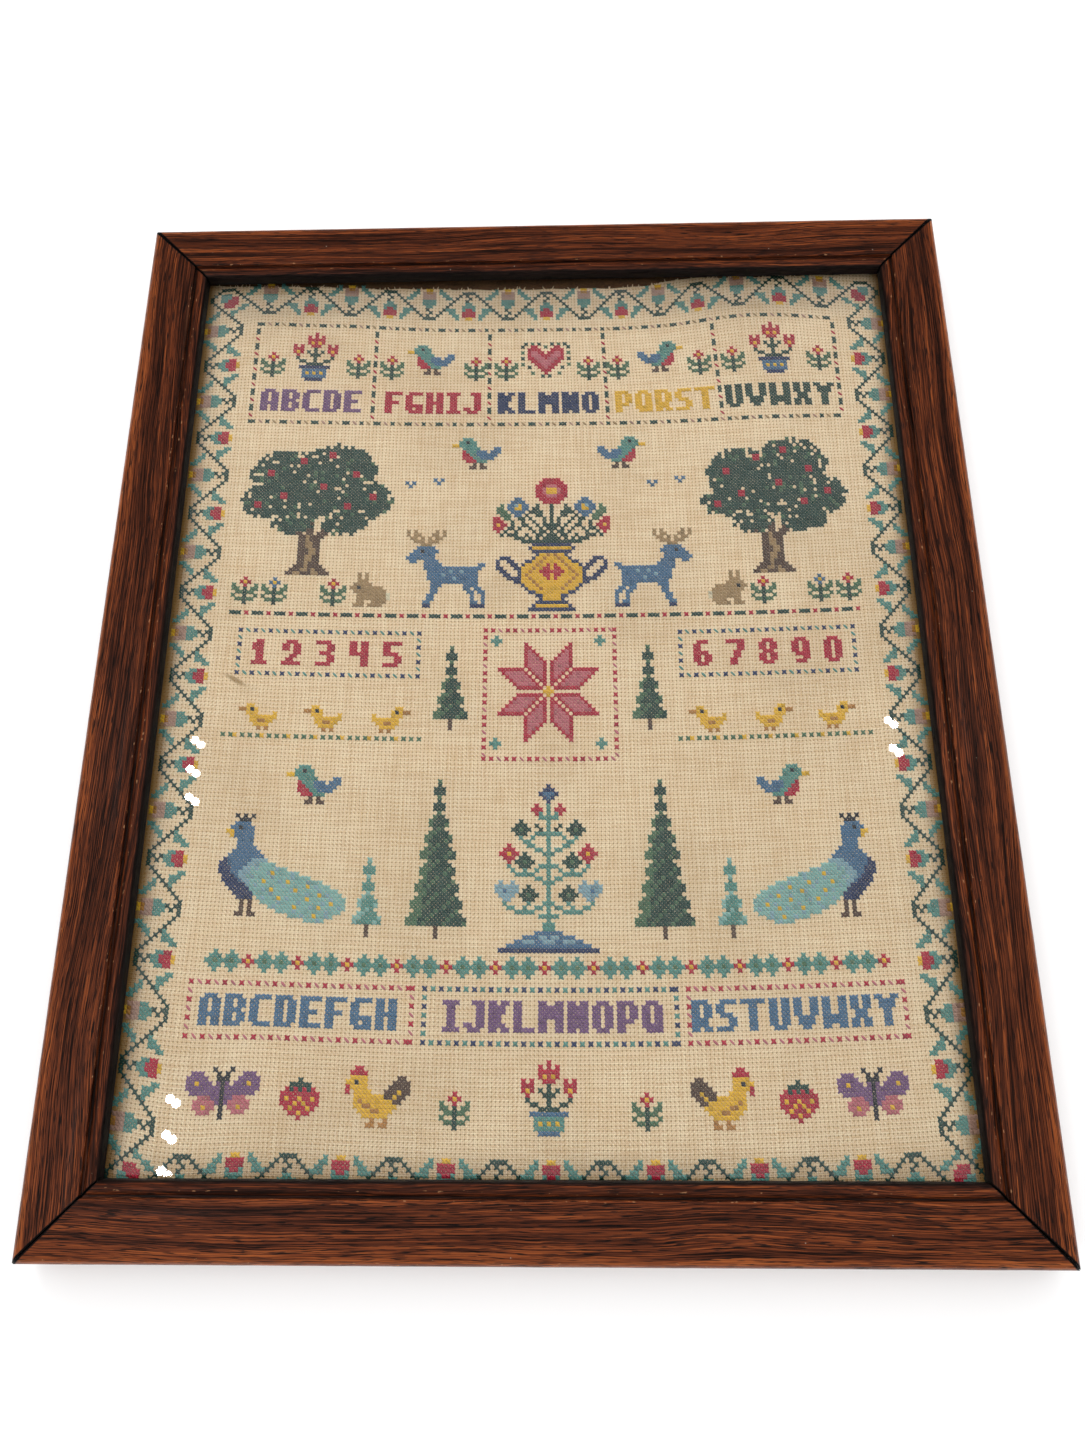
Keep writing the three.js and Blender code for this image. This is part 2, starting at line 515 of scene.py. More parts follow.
@dataclass(frozen=True)
class OakFinish:
    """Open grained oak under a dark red-brown stain and a worn satin polish, with a painted highlight on
    the outer round and painted shade in the groove and on the inner wall.
    """

    deep: str = "#1e0902"
    dark: str = "#461c07"
    middle: str = "#6e300d"
    light: str = "#a0521c"
    worn: str = "#9a5a33"
    bare: str = "#c08a5c"
    pore: str = "#140805"
    grime: str = "#0b0503"
    dust: str = "#b8a99a"
    stops: tuple = (0.26, 0.4, 0.54, 0.74)
    fibre_share: float = 1.2
    band_share: float = 0.7
    edge_highlight: float = 0.17
    tone_base: float = 0.545
    relief: tuple = (0.35, 0.25)
    roughness: float = 0.36
    coat: float = 0.12
    figure_step: float = 730.0
    ring_step: float = 41.0
    groove: float = 26.1

    def material(
        self, side: Side, length: float, across: float, moulding: "Moulding"
    ) -> bpy.types.Material:
        """Build the finish for the rail of one side, with the grain along that rail.

        Args:
            side: The rail's side.
            length: The rail's length.
            across: The frame's size across the rail, from outer edge to outer edge.
            moulding: The rail's section.

        Returns:
            The material.
        """
        material, wiring, shader = new_material(f"stained_oak_{side.word}")
        place = self.rail_place(wiring, side, across)
        along, inward, height = wiring.split(place)
        shifted = wiring.join(
            along + self.figure_step * side.turns, inward + self.ring_step * side.turns, height
        )
        grain = Grain().placed(wiring, place=shifted)
        tone = grain["Fibres"] * self.fibre_share + grain["Bands"] * self.band_share
        # Painted highlight: the tone rises towards the outer round, as if that edge caught the light.
        tone = tone + wiring.range(inward, 9.0, 1.0) * self.edge_highlight - self.tone_base
        ramp = wiring.node("ValToRGB", {0: tone})
        shades = (self.deep, self.dark, self.middle, self.light)
        stops = ramp.color_ramp.elements
        for i, (position, shade) in enumerate(zip(self.stops, shades)):
            stop = stops[i] if i < len(stops) else stops.new(position)
            stop.position = position
            stop.color = tint(shade)
        colour = Value(wiring, ramp.outputs["Color"])
        colour, rough = self.add_wear(wiring, shifted, inward, height, colour, moulding)
        colour = wiring.blend(grain["Pores"] * 0.9, colour, tint(self.pore))
        dust = Dust().placed(wiring, place=shifted, spacing=7.0, speck_size=0.05)
        colour = wiring.blend(dust["Specks"] * 0.5, colour, tint(self.dust))
        dirt = self.dirt(wiring, place, length, moulding)
        relief = grain["Fibres"] - grain["Pores"] * 0.8
        dressed = {
            # The grime colour paints dark wax in the mitres, and painted shade in the groove and on the
            # inner wall.
            "Base Color": wiring.blend(dirt, colour, tint(self.grime)),
            "Roughness": rough + dirt * 0.4 + grain["Pores"] * 0.25,
            "Normal": wiring.bump(relief, *self.relief),
            "Specular IOR Level": 0.3,
            "Coat Weight": self.coat,
            "Coat Roughness": 0.2,
        }
        wiring.fill(shader, dressed)
        return material

    def dirt(self, wiring: Wiring, place: Value, length: float, moulding: "Moulding") -> Value:
        """Find where the wood is darkened: dark wax in the mitres, and painted shade in the groove and
        on the inner wall under the bead.

        Args:
            wiring: The material's nodes.
            place: The place along the rail, in from its edge, and up.
            length: The rail's length.
            moulding: The rail's section.

        Returns:
            The share of dark wax and painted shade, 0 to 1.
        """
        along, inward, _ = wiring.split(place)
        from_mitre = abs(length / 2 - abs(along) - inward)
        ragged = wiring.noise(wiring.stretch(place, (0.5, 0.5, 0.5)), 3.0)
        opened = wiring.range(inward, 26.0, 2.0) * 0.45 + ragged * 0.8 + 0.3
        mitre = wiring.range(from_mitre - opened, 0.55, 0.0)
        # Painted shade on the inner wall under the bead, which lies in shadow.
        wall = wiring.range(inward, moulding.width - 1.3, moulding.width - 0.5) * 0.93
        # Painted shade in the groove between the face and the bead.
        groove = wiring.range(abs(inward - self.groove), 0.9, 0.2) * 0.6
        return wiring.math("MAXIMUM", mitre, wiring.math("MAXIMUM", wall, groove))

    def rail_place(self, wiring: Wiring, side: Side, across: float) -> Value:
        """Turn object coordinates into millimetres along the rail, in from its edge, and up.

        Args:
            wiring: The material's nodes.
            side: The rail's side.
            across: The frame's size across the rail.

        Returns:
            The vector.
        """
        outward = -1.0 if side in (Side.TOP, Side.RIGHT) else 1.0
        scale = (outward / MM, -1 / MM, 1 / MM) if side.upright else (1 / MM, outward / MM, 1 / MM)
        inputs = {
            "Vector": wiring.out("TexCoord", {}, "Object"),
            "Location": (0.0, across / 2, 0.0),
            "Rotation": (0.0, 0.0, math.pi / 2 if side.upright else 0.0),
            "Scale": scale,
        }
        return wiring.out("Mapping", inputs, vector_type="POINT")

    def add_wear(
        self,
        wiring: Wiring,
        place: Value,
        inward: Value,
        height: Value,
        colour: Value,
        moulding: "Moulding",
    ) -> tuple[Value, Value]:
        """Rub the stain away along the outer edge, the arris and the bead's crest.

        Args:
            wiring: The material's nodes.
            place: The place along the rail, in from its edge, and up.
            inward: The distance in from the outer edge.
            height: The height.
            colour: The stained wood's colour.
            moulding: The rail's section.

        Returns:
            The colour and the roughness.
        """
        edges = (
            (1.0, 3.4, 0.34),
            (moulding.flat_end, 1.2, 0.22),
            (moulding.bead_crest - 0.5, 1.6, 0.12),
        )
        high = wiring.range(height, moulding.thickness - 5.0, moulding.thickness - 3.2)
        rough: Number = self.roughness
        for middle, reach, amount in edges:
            wear = EdgeWear().placed(
                wiring, place=place, distance=inward - middle, reach=reach, amount=amount
            )
            chipped = wear["Chipped"] * high
            colour = wiring.blend(wear["Rubbed"] * high * 0.6, colour, tint(self.worn))
            colour = wiring.blend(chipped * 0.45, colour, tint(self.bare))
            rough = chipped * 0.3 + rough
        return colour, rough


@dataclass(frozen=True)
class GlassFinish:
    """Clear picture glass with a little dust on it."""

    clear: str = "#fbfdfc"
    dusty: str = "#dcdad4"
    index: float = 1.5

    def material(self) -> bpy.types.Material:
        """Build the finish. Light falls straight through it on to the cloth."""
        material, wiring, shader = new_material("clear_glass")
        dust = Dust().placed(wiring, place=wiring.place(), spacing=16.0, speck_size=0.016)
        dressed = {
            "Base Color": wiring.blend(dust["Specks"], tint(self.clear), tint(self.dusty)),
            "Roughness": 0.0,
            "IOR": self.index,
            "Transmission Weight": 1.0,
        }
        wiring.fill(shader, dressed)
        both = {
            0: wiring.out("LightPath", {}, "Is Shadow Ray"),
            1: Value(wiring, shader.outputs[0]),
            2: wiring.out("BsdfTransparent", {}),
        }
        end = material.node_tree.nodes["Material Output"]
        wiring.fill(end, {"Surface": wiring.out("MixShader", both)})
        return material


@dataclass(frozen=True)
class BoardFinish:
    """Brown pressed board with flattened fibres and darker flecks."""

    pulp: str = "#6e4a2c"
    fleck: str = "#3c2615"
    pale: str = "#93693f"

    def material(self) -> bpy.types.Material:
        """Build the finish."""
        material, wiring, shader = new_material("pressed_board")
        place = wiring.place()
        grain = Grain().placed(
            wiring, place=place, band_width=5.0, fibre_length=3.0, pore_length=1.6, pore_share=0.42
        )
        age = Ageing().placed(wiring, place=place, cloud_size=55.0)
        pulp = wiring.blend(wiring.range(grain["Fibres"], 0.3, 0.7), tint(self.fleck), tint(self.pulp))
        pulp = wiring.blend(age["Faded"] * 0.5, pulp, tint(self.pale))
        dressed = {
            "Base Color": wiring.blend(grain["Pores"] * 0.6, pulp, tint(self.fleck)),
            "Normal": wiring.bump(grain["Fibres"], 0.5, 0.15),
            "Roughness": 0.82,
        }
        wiring.fill(shader, dressed)
        return material


class Floss(Enum):
    """The stitching threads, each with its letter in a chart and its colour."""

    DARK_GREEN = ("D", "#1b443a")
    LEAF_GREEN = ("E", "#4f7355")
    TEAL = ("T", "#5b948a")
    AQUA = ("A", "#8fbcb6")
    CRIMSON = ("R", "#ba0f36")
    ROSE = ("K", "#c9707a")
    SHELL = ("P", "#b98f7c")
    YELLOW = ("Y", "#efbb2c")
    AMBER = ("O", "#b9803a")
    NAVY = ("N", "#223460")
    BLUE = ("B", "#4a7396")
    SKY = ("S", "#8fb0bd")
    PURPLE = ("V", "#7c5683")
    BROWN = ("W", "#5a4032")
    FAWN = ("F", "#ae8e63")
    INK = ("X", "#1d2029")
    CREAM = ("C", "#e6d9ba")

    def __init__(self, letter: str, shade: str) -> None:
        """Keep the letter and the colour."""
        self.letter = letter
        self.shade = shade

    @property
    def word(self) -> str:
        """Its name in the names of pieces."""
        return self.name.lower()


FLOSS_BY_LETTER = {floss.letter: floss for floss in Floss}


class Twist(SharedEffect):
    """The plies of a thread, which wind round it, from its own UV map."""

    name = "thread_twist"
    inputs = (("Along And Across", VECTOR, None), ("Plies", FLOAT, 5.0))
    outputs = ("Plies Height", "Groove")

    def wire(self, wiring: Wiring, given: dict[str, Value]) -> tuple[Value, ...]:
        """Wire the plies. See SharedEffect.wire for Args and Returns."""
        along, across, _ = wiring.split(given["Along And Across"])
        turns = along * given["Plies"] + across * 1.3
        wave = wiring.math("SINE", turns * math.tau)
        # The Groove output feeds the painted shade between the plies.
        return wiring.range(wave, -1.0, 1.0), wiring.range(wave, -0.55, -1.0)


@dataclass(frozen=True)
class FlossFinish:
    """Matt stranded thread in one colour, a little faded and uneven, with painted shade in the grooves
    between its plies and on the under legs.
    """

    name: str
    shade: str
    bleached: str = "#c9bfa6"
    paler: float = 0.05
    deeper: float = 0.5
    fading: float = 0.7
    groove_shade: float = 0.4
    leg_dark: float = 0.55
    leg_pale: float = 0.07
    relief: tuple = (0.5, 0.12)
    roughness: float = 0.78

    def material(self) -> bpy.types.Material:
        """Build the finish, which reads each leg's own shade and UV map."""
        material, wiring, shader = new_material(self.name)
        leg_map = wiring.out("UVMap", {}, uv_map="leg")
        twist = Twist().placed(wiring, along_and_across=leg_map)
        shade = wiring.out("Attribute", {}, "Fac", attribute_name="shade")
        age = Ageing().placed(wiring, place=wiring.place(), cloud_size=34.0)
        base = tint(self.shade)
        pale = tuple(c + (0.5 - c) * self.paler for c in base[:3]) + (1.0,)
        deep = tuple(c * self.deeper for c in base[:3]) + (1.0,)
        # Painted shade in the grooves between the plies. The leg's shade number darkens some legs, and
        # darkens the under legs with painted shade.
        darker = twist["Groove"] * self.groove_shade + wiring.range(shade, 0.5, 0.0, 0.0, self.leg_dark)
        paler = wiring.range(shade, 0.5, 1.0, 0.0, self.leg_pale)
        colour = wiring.blend(age["Faded"] * self.fading, base, pale)
        colour = wiring.blend(darker, colour, deep)
        dressed = {
            "Base Color": wiring.blend(paler, colour, tint(self.bleached)),
            "Normal": wiring.bump(twist["Plies Height"], *self.relief),
            "Roughness": self.roughness,
            "Sheen Weight": 0.04,
            "Sheen Roughness": 0.5,
            "Specular IOR Level": 0.25,
        }
        wiring.fill(shader, dressed)
        return material


@dataclass(frozen=True)
class Moulding:
    """The rail's section, measured in from the outer edge and down from the face."""

    width: float = 32.0
    thickness: float = 22.0
    outer_round: float = 3.8
    back_round: float = 0.8
    flat_end: float = 25.0
    arris: float = 0.5
    groove_depth: float = 1.7
    groove_end: float = 26.4
    bead_crest: float = 28.8
    bead_rise: float = 0.85
    sight_drop: float = 2.4
    rabbet_width: float = 6.0
    lip_back: float = 14.1
    lip_break: float = 0.35
    first_cut: float = 4.2
    face_cuts: tuple = (0.3, 0.55)
    arris_cuts: tuple = ((-0.15, 0.0), (0.12, 0.18), (0.38, 0.75))
    bead_steps: int = 9

    def stations(self) -> list[tuple[float, float]]:
        """Where the face is cut lengthwise, and how far each line then sinks.

        Returns:
            Pairs of the distance in from the outer edge and the drop below the face.
        """
        lines = [(self.first_cut, 0.0)]
        lines += [(self.width * share, 0.0) for share in self.face_cuts]
        lines += [(self.flat_end + beyond, self.arris * sunk) for beyond, sunk in self.arris_cuts]
        lines.append((self.flat_end + self.arris, self.groove_depth))
        for step in range(self.bead_steps + 1):
            t = 1 - step / self.bead_steps
            near, far = (1 - t) ** 2, t * t
            middle = 2 * t * (1 - t)
            inward = near * self.width + middle * self.bead_crest + far * self.groove_end
            drop = near * self.sight_drop - middle * self.bead_rise + far * self.groove_depth
            lines.append((inward, drop))
        return lines


@dataclass
class OakFrame:
    """The four mitred rails."""

    width: float = 435.0
    height: float = 522.0
    moulding: Moulding = field(default_factory=Moulding)
    finish: OakFinish = field(default_factory=OakFinish)
    mitre_slit: float = 0.5
    length_step: float = 4.0
    unevenness: float = 0.16
    cloud_size: float = 14.0
    smooth_angle: float = 32.0
    near: float = 0.004

    def build(self) -> list[bpy.types.Object]:
        return [self.make_rail(side) for side in Side]

    def make_rail(self, side: Side) -> bpy.types.Object:
        """Make one rail as if it were the top one and turn it to its side.

        Args:
            side: The rail's side.

        Returns:
            The rail.
        """
        length, across = (self.height, self.width) if side.upright else (self.width, self.height)
        rail = self.shape_section(f"oak_rail_{side.word}", length, across / 2)
        self.cut_rabbet(rail, length, across / 2)
        self.cut_lengths_and_mitres(rail, side, length, across / 2)
        self.make_uneven(rail)
        rail.rotation_euler.z = side.turns * math.pi / 2
        Bench.settle(rail)
        Bench.smooth(rail, self.smooth_angle)
        wear_finish(rail, self.finish.material(side, length, across, self.moulding))
        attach(rail, BODY)
        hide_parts(f"rail_{side.word}")
        return rail

    def shape_section(self, name: str, length: float, edge: float) -> bpy.types.Object:
        """Shape a square bar into the moulding, still with square ends.

        Args:
            name: The rail's name.
            length: The rail's length.
            edge: How far the outer edge lies from the frame's middle.

        Returns:
            The bar.
        """
        section = self.moulding
        low = (-length / 2, edge - section.width, 0.0)
        rail = Bench.block(name, low, (length / 2, edge, section.thickness))
        with Bench.editing(rail):
            for inward, _ in section.stations():
                if inward < section.width - self.near:
                    Bench.saw((0.0, edge - inward, 0.0), (0.0, 1.0, 0.0))
            for inward, drop in section.stations():
                line = edge - inward
                Bench.pick(rail, Part.VERTS, lambda v: self.is_face_line(v, line))
                if drop:
                    Bench.move((0.0, 0.0, -drop))
            self.round_edge(rail, edge, section.thickness, section.outer_round, 9)
            self.round_edge(rail, edge, 0.0, section.back_round, 3)
        return rail

    def is_face_line(self, corner: Vector, line: float) -> bool:
        """Whether a corner lies on the untouched face, on one line across it."""
        return corner.z > self.moulding.thickness - self.near and abs(corner.y - line) < self.near

    def round_edge(
        self, rail: bpy.types.Object, edge: float, level: float, radius: float, segments: int
    ) -> None:
        """Round one outer edge, in edit mode.

        Args:
            rail: The rail.
            edge: How far the outer edge lies from the frame's middle.
            level: The height of the edge.
            radius: The round's radius.
            segments: How many facets it has.
        """
        Bench.pick(
            rail,
            Part.EDGES,
            lambda v: abs(v.y - edge) < self.near and abs(v.z - level) < self.near,
        )
        bpy.ops.mesh.bevel(offset=radius * MM, segments=segments, profile=0.5, affect="EDGES")

    def cut_rabbet(self, rail: bpy.types.Object, length: float, edge: float) -> None:
        """Cut the rabbet behind the sight edge and break the lip's sharp corner.

        Args:
            rail: The rail.
            length: The rail's length.
            edge: How far the outer edge lies from the frame's middle.
        """
        section = self.moulding
        inner = edge - section.width
        low = (-length, inner - 5.0, -5.0)
        high = (length, inner + section.rabbet_width, section.lip_back)
        cutter = Bench.block("rabbet_cutter", low, high)
        Bench.finish_with(rail, "BOOLEAN", operation="DIFFERENCE", object=cutter, solver="EXACT")
        Bench.discard(cutter)
        with Bench.editing(rail):
            Bench.pick(
                rail,
                Part.EDGES,
                lambda v: abs(v.y - inner) < self.near and v.z < section.thickness - 1.0,
            )
            bpy.ops.mesh.bevel(offset=section.lip_break * MM, segments=2, profile=0.5, affect="EDGES")

    def cut_lengths_and_mitres(
        self, rail: bpy.types.Object, side: Side, length: float, edge: float
    ) -> None:
        """Divide the rail along its length and cut both of its ends to the mitre.

        Args:
            rail: The rail.
            side: The rail's side; not used.
            length: The rail's length.
            edge: How far the outer edge lies from the frame's middle.
        """
        slit = self.mitre_slit / math.sqrt(2)
        with Bench.editing(rail):
            bpy.ops.mesh.select_mode(type="EDGE")
            bpy.ops.mesh.select_all(action="DESELECT")
            shape = bmesh.from_edit_mesh(rail.data)
            for item in shape.edges:
                run = item.verts[0].co - item.verts[1].co
                item.select_set(abs(run.x) > 0.9 * length * MM)
            bmesh.update_edit_mesh(rail.data)
            cuts = int(length / self.length_step)
            bpy.ops.mesh.subdivide(number_cuts=cuts, quadcorner="INNERVERT", ngon=False)
            for end in (-1.0, 1.0):
                Bench.saw((end * (length / 2 - slit), edge, 0.0), (end, -1.0, 0.0), clear=True)

    def make_uneven(self, rail: bpy.types.Object) -> None:
        """Take the machined straightness off the rail, as hand rubbing does."""
        clouds = bpy.data.textures.new("hand_rubbing", "CLOUDS")
        clouds.noise_scale = self.cloud_size * MM
        clouds.noise_depth = 2
        Bench.finish_with(
            rail,
            "DISPLACE",
            texture=clouds,
            texture_coords="LOCAL",
            direction="NORMAL",
            strength=self.unevenness * MM,
            mid_level=0.62,
        )


@dataclass
class ClothLie:
    """How the linen lies: where each cross of the count falls, and how high the cloth is there."""

    columns: int = 204
    rows: int = 248
    flat_top: float = 9.7
    half_width: float = 189.1
    foot: float = -232.6
    opening_top: float = 229.0
    pitch: tuple = (1.83, 1.89)
    tries: int = 12
    pucker: float = 0.05
    ridge_end_fade: float = 12.0
    ragged: float = 0.35
    ragged_pitch: float = 21.0
    ridges: tuple = (
        (163, 46, 165, 4, 0.6, 5),
        (166, -26, 167, -118, 1.0, 4),
        (-163, -108, -164, -196, 0.85, 4.5),
        (-161, 46, -165, -42, 0.5, 6),
        (-60, 217, 70, 219, 0.5, 6),
        (96, 204, 172, 190, 0.45, 9),
        (-120, -64, -30, -48, 0.4, 14),
        (40, 28, 128, 12, 0.4, 15),
    )
    top_edge: tuple = (
        (-195, 2.4), (-136, 0.8), (-79, -1.7), (-23, -3.3),
        (44, -3.4), (58, -1.9), (82, 2.6), (195, 3.6),
    )

    def place(self, column: np.ndarray, row: np.ndarray) -> tuple[np.ndarray, np.ndarray]:
        """Say where points of the count lie on the cloth, which was laid a little askew.

        Args:
            column: Crosses from the left edge of the work.
            row: Crosses down from its top edge.

        Returns:
            X and Y in millimetres.
        """
        u = (column - self.columns / 2) / (self.columns / 2)
        v = (row - self.rows / 2) / (self.rows / 2)
        near_top = np.exp(-(((v + 1) / 0.3) ** 2))
        near_foot = np.exp(-(((v - 1) / 0.3) ** 2))
        x = 4.6 - 4.2 * u * u + u * (186.5 + 0.7 * v + 3.1 * v * v)
        x = x - near_top * (6.1 * self.swell(u, 0.45, 0.4) - 2.0 * self.swell(u, -0.7, 0.25))
        y = -6.5 - 234.5 * v - 2.3 * v * v + (4.8 + 1.4 * v) * u * u - 0.6 * u
        y = y + near_top * (7.7 * self.swell(u, 0.64, 0.22) + 3.2 * self.swell(u, -0.62, 0.2))
        y = y + (3.3 * near_top - 3.0 * near_foot) * self.swell(u, -0.84, 0.12)
        return x, y

    @staticmethod
    def swell(u: np.ndarray, middle: float, reach: float) -> np.ndarray:
        """Give a soft swell of 1 at its middle, across the cloth."""
        return np.exp(-(((u - middle) / reach) ** 2))

    def count(self, x: np.ndarray, y: np.ndarray) -> tuple[np.ndarray, np.ndarray]:
        """Say which column and row of the count a point of the cloth is, the reverse of place.

        Args:
            x: X in millimetres.
            y: Y in millimetres.

        Returns:
            The columns and the rows.
        """
        wide, high = self.pitch
        column = self.columns / 2 + x / wide
        row = self.rows / 2 - y / high
        for _ in range(self.tries):
            there_x, there_y = self.place(column, row)
            column = column + (x - there_x) / wide
            row = row - (y - there_y) / high
        return column, row

    def height(self, x: np.ndarray, y: np.ndarray) -> np.ndarray:
        """Give the height of the cloth's face, with its ridges and a faint pucker."""
        total = np.full(np.shape(x), self.flat_top, dtype=float)
        for x1, y1, x2, y2, rise, spread in self.ridges:
            run_x, run_y = x2 - x1, y2 - y1
            run = math.hypot(run_x, run_y)
            along = ((x - x1) * run_x + (y - y1) * run_y) / run
            aside = np.abs((x - x1) * run_y - (y - y1) * run_x) / run
            beyond = np.maximum(0, np.maximum(-along, along - run))
            fade = np.exp(-((beyond / self.ridge_end_fade) ** 2))
            total += rise * fade * np.exp(-((aside / spread) ** 2))
        waves = np.sin(x / 5.3 + 0.7 * np.sin(y / 11.0)), np.sin(y / 6.1 + x / 23.0)
        return total + self.pucker * waves[0] * waves[1]

    def top_at(self, x: np.ndarray) -> np.ndarray:
        """Give the height up the picture of the cloth's uneven top edge."""
        marks = np.array(self.top_edge, dtype=float)
        i = np.clip(np.searchsorted(marks[:, 0], x, side="right") - 1, 0, len(marks) - 2)
        share = (x - marks[i, 0]) / (marks[i + 1, 0] - marks[i, 0])
        ease = share * share * (3 - 2 * share)
        rise = marks[i, 1] + (marks[i + 1, 1] - marks[i, 1]) * ease
        return self.opening_top + rise + self.ragged * np.sin(x / self.ragged_pitch * math.tau)


class Weave(SharedEffect):
    """Plain weave: threads over and under each other, each thread with its own tone.

    The cloth is pulled open by the stitching, so a hole shows at the corners of every pair. The Gaps
    output marks those holes and the crevices where the threads meet, for painted shade.
    """

    name = "plain_weave"
    inputs = (("Threads", VECTOR, None), ("Slub Length", FLOAT, 26.0))
    outputs = ("Height", "Gaps", "Tone")

    def wire(self, wiring: Wiring, given: dict[str, Value]) -> tuple[Value, ...]:
        """Wire the threads. See SharedEffect.wire for Args and Returns."""
        across, down, _ = wiring.split(given["Threads"])
        near_x, near_y = self.from_middle(wiring, across), self.from_middle(wiring, down)
        crossing = wiring.math("FLOOR", across) + wiring.math("FLOOR", down)
        upright = wiring.math("FLOORED_MODULO", crossing, 2.0)
        pair_corner = self.from_middle(wiring, across * 0.5) * self.from_middle(wiring, down * 0.5)
        hole = wiring.range(pair_corner, 0.25, 0.85)
        # Painted shade: the crevices where the threads meet.
        corner = wiring.range(near_x * near_y, 0.35, 0.8)
        hump = self.either(wiring, upright, self.hump(near_x, near_y), self.hump(near_y, near_x))
        tones = []
        for own, run in ((across, down), (down, across)):
            thread = wiring.join(wiring.math("FLOOR", own) * 3.7, run / given["Slub Length"])
            tones.append(wiring.noise(thread, 2.0, 0.6))
        gaps = wiring.math("MAXIMUM", hole, corner * 0.45)
        return hump - hole * 0.9, gaps, self.either(wiring, upright, *tones)

    def from_middle(self, wiring: Wiring, count: Value) -> Value:
        """Give 0 in the middle of a thread and 1 at its edges."""
        return abs(wiring.math("FRACT", count) - 0.5) * 2.0

    def hump(self, aside: Value, along: Value) -> Value:
        """Give the height of a thread that passes over another."""
        return 1.0 - aside * aside - along * along * 0.55

    def either(self, wiring: Wiring, upright: Value, a: Value, b: Value) -> Value:
        """Take the upright thread's value where it lies on top, and the level one's elsewhere."""
        return wiring.out("Mix", {0: upright, 2: b, 3: a}, data_type="FLOAT")


@dataclass(frozen=True)
class LinenFinish:
    """Even weave linen, aged to a cream tan, with painted shade between its threads, painted shade and a
    painted reflection of the side rails beside them, and darker towards the foot.
    """

    thread: str = "#ffdfb6"
    pale_thread: str = "#fff3d8"
    dark_thread: str = "#cfa878"
    gap: str = "#a87b46"
    # The browned colour also paints the shade and reflection beside the side rails, and the darkening
    # towards the foot.
    browned: str = "#93682a"
    stain: str = "#9a7238"
    evenness: float = 0.55
    gap_shade: float = 0.85
    clouds: float = 0.16
    side_shade: float = 0.92
    foot_darkening: float = 0.35
    relief: tuple = (0.7, 0.26)
    roughness: float = 0.9
    marks: tuple = (
        ((-151.3, -4.0), (6.4, 1.3), -30.0, 0.75),
        ((-146.0, -8.0), (7.0, 3.0), -10.0, 0.12),
        ((-118.0, 188.0), (22.0, 7.0), 4.0, 0.14),
        ((60.0, -96.0), (26.0, 18.0), 20.0, 0.1),
        ((118.0, 96.0), (9.0, 5.0), 0.0, 0.16),
        ((-20.0, 44.0), (14.0, 9.0), 35.0, 0.12),
    )

    def material(self, lie: ClothLie) -> bpy.types.Material:
        """Build the finish, which reads the cloth's own UV map of its count.

        Args:
            lie: How the cloth lies, for the size of its count.

        Returns:
            The material.
        """
        material, wiring, shader = new_material("aged_linen")
        count = wiring.out("UVMap", {}, uv_map="count")
        threads = wiring.stretch(count, (2.0 * CountMap.across, 2.0 * CountMap.down, 1.0))
        place = wiring.place()
        weave = Weave().placed(wiring, threads=threads)
        age = Ageing().placed(wiring, place=place, cloud_size=75.0)
        tone = wiring.range(weave["Tone"], 0.3, 0.7)
        colour = wiring.blend(tone, tint(self.dark_thread), tint(self.pale_thread))
        colour = wiring.blend(self.evenness, colour, tint(self.thread))
        # Painted shade in the holes and between the threads.
        colour = wiring.blend(weave["Gaps"] * self.gap_shade, colour, tint(self.gap))
        colour = wiring.blend(age["Browned"] * self.clouds, colour, tint(self.browned))
        # Painted shade and reflection beside the side rails, and darker towards the foot.
        colour = self.add_edges(wiring, place, lie, colour)
        dressed = {
            "Base Color": self.add_stains(wiring, place, colour),
            "Normal": wiring.bump(weave["Height"], *self.relief),
            "Roughness": self.roughness,
            "Sheen Weight": 0.08,
            "Specular IOR Level": 0.2,
        }
        wiring.fill(shader, dressed)
        return material

    def add_edges(self, wiring: Wiring, place: Value, lie: ClothLie, colour: Value) -> Value:
        """Paint shade and a reflection of the side rails on the cloth beside them, and darken the cloth
        towards the foot.

        Args:
            wiring: The material's nodes.
            place: The place in millimetres.
            lie: How the cloth lies.
            colour: The cloth's colour so far.

        Returns:
            The colour.
        """
        x, y, _ = wiring.split(place)
        wander = wiring.noise(wiring.stretch(place, (0.03, 0.03, 0.03)), 3.0)
        # Painted shade and a painted reflection of the side rails on the cloth beside them.
        near_side = wiring.range(wander * 5.0 + (lie.half_width - abs(x)), 14.0, 4.0)
        # Darker towards the foot.
        near_foot = wiring.range(wander * 6.0 + (y - lie.foot), 20.0, 6.0)
        share = wiring.math("MAXIMUM", near_side * self.side_shade, near_foot * self.foot_darkening)
        return wiring.blend(share, colour, tint(self.browned))

    def add_stains(self, wiring: Wiring, place: Value, colour: Value) -> Value:
        """Add the old water marks.

        Args:
            wiring: The material's nodes.
            place: The place in millimetres.
            colour: The cloth's colour so far.

        Returns:
            The colour.
        """
        wobble = wiring.noise(wiring.stretch(place, (0.12, 0.12, 0.12)), 4.0)
        for middle, reach, turn, strength in self.marks:
            inputs = {
                "Vector": place,
                "Location": (*middle, 0.0),
                "Rotation": (0.0, 0.0, math.radians(turn)),
                "Scale": (*reach, 1000.0),
            }
            local = wiring.out("Mapping", inputs, vector_type="TEXTURE")
            far = wiring.out("VectorMath", {0: local}, "Value", operation="LENGTH")
            share = wiring.range(far + wobble - 0.5, 1.4, 0.4) * strength
            colour = wiring.blend(share, colour, tint(self.stain))
        return colour


class CountMap:
    """How the count is written into the cloth's UV map, so that all of it stays within 0 to 1."""

    margin = 6.0
    across = 216.0
    down = 260.0

    @classmethod
    def uv(cls, column: np.ndarray, row: np.ndarray) -> np.ndarray:
        """Give the UV of points of the count, as pairs."""
        return np.column_stack(((column + cls.margin) / cls.across, (row + cls.margin) / cls.down))


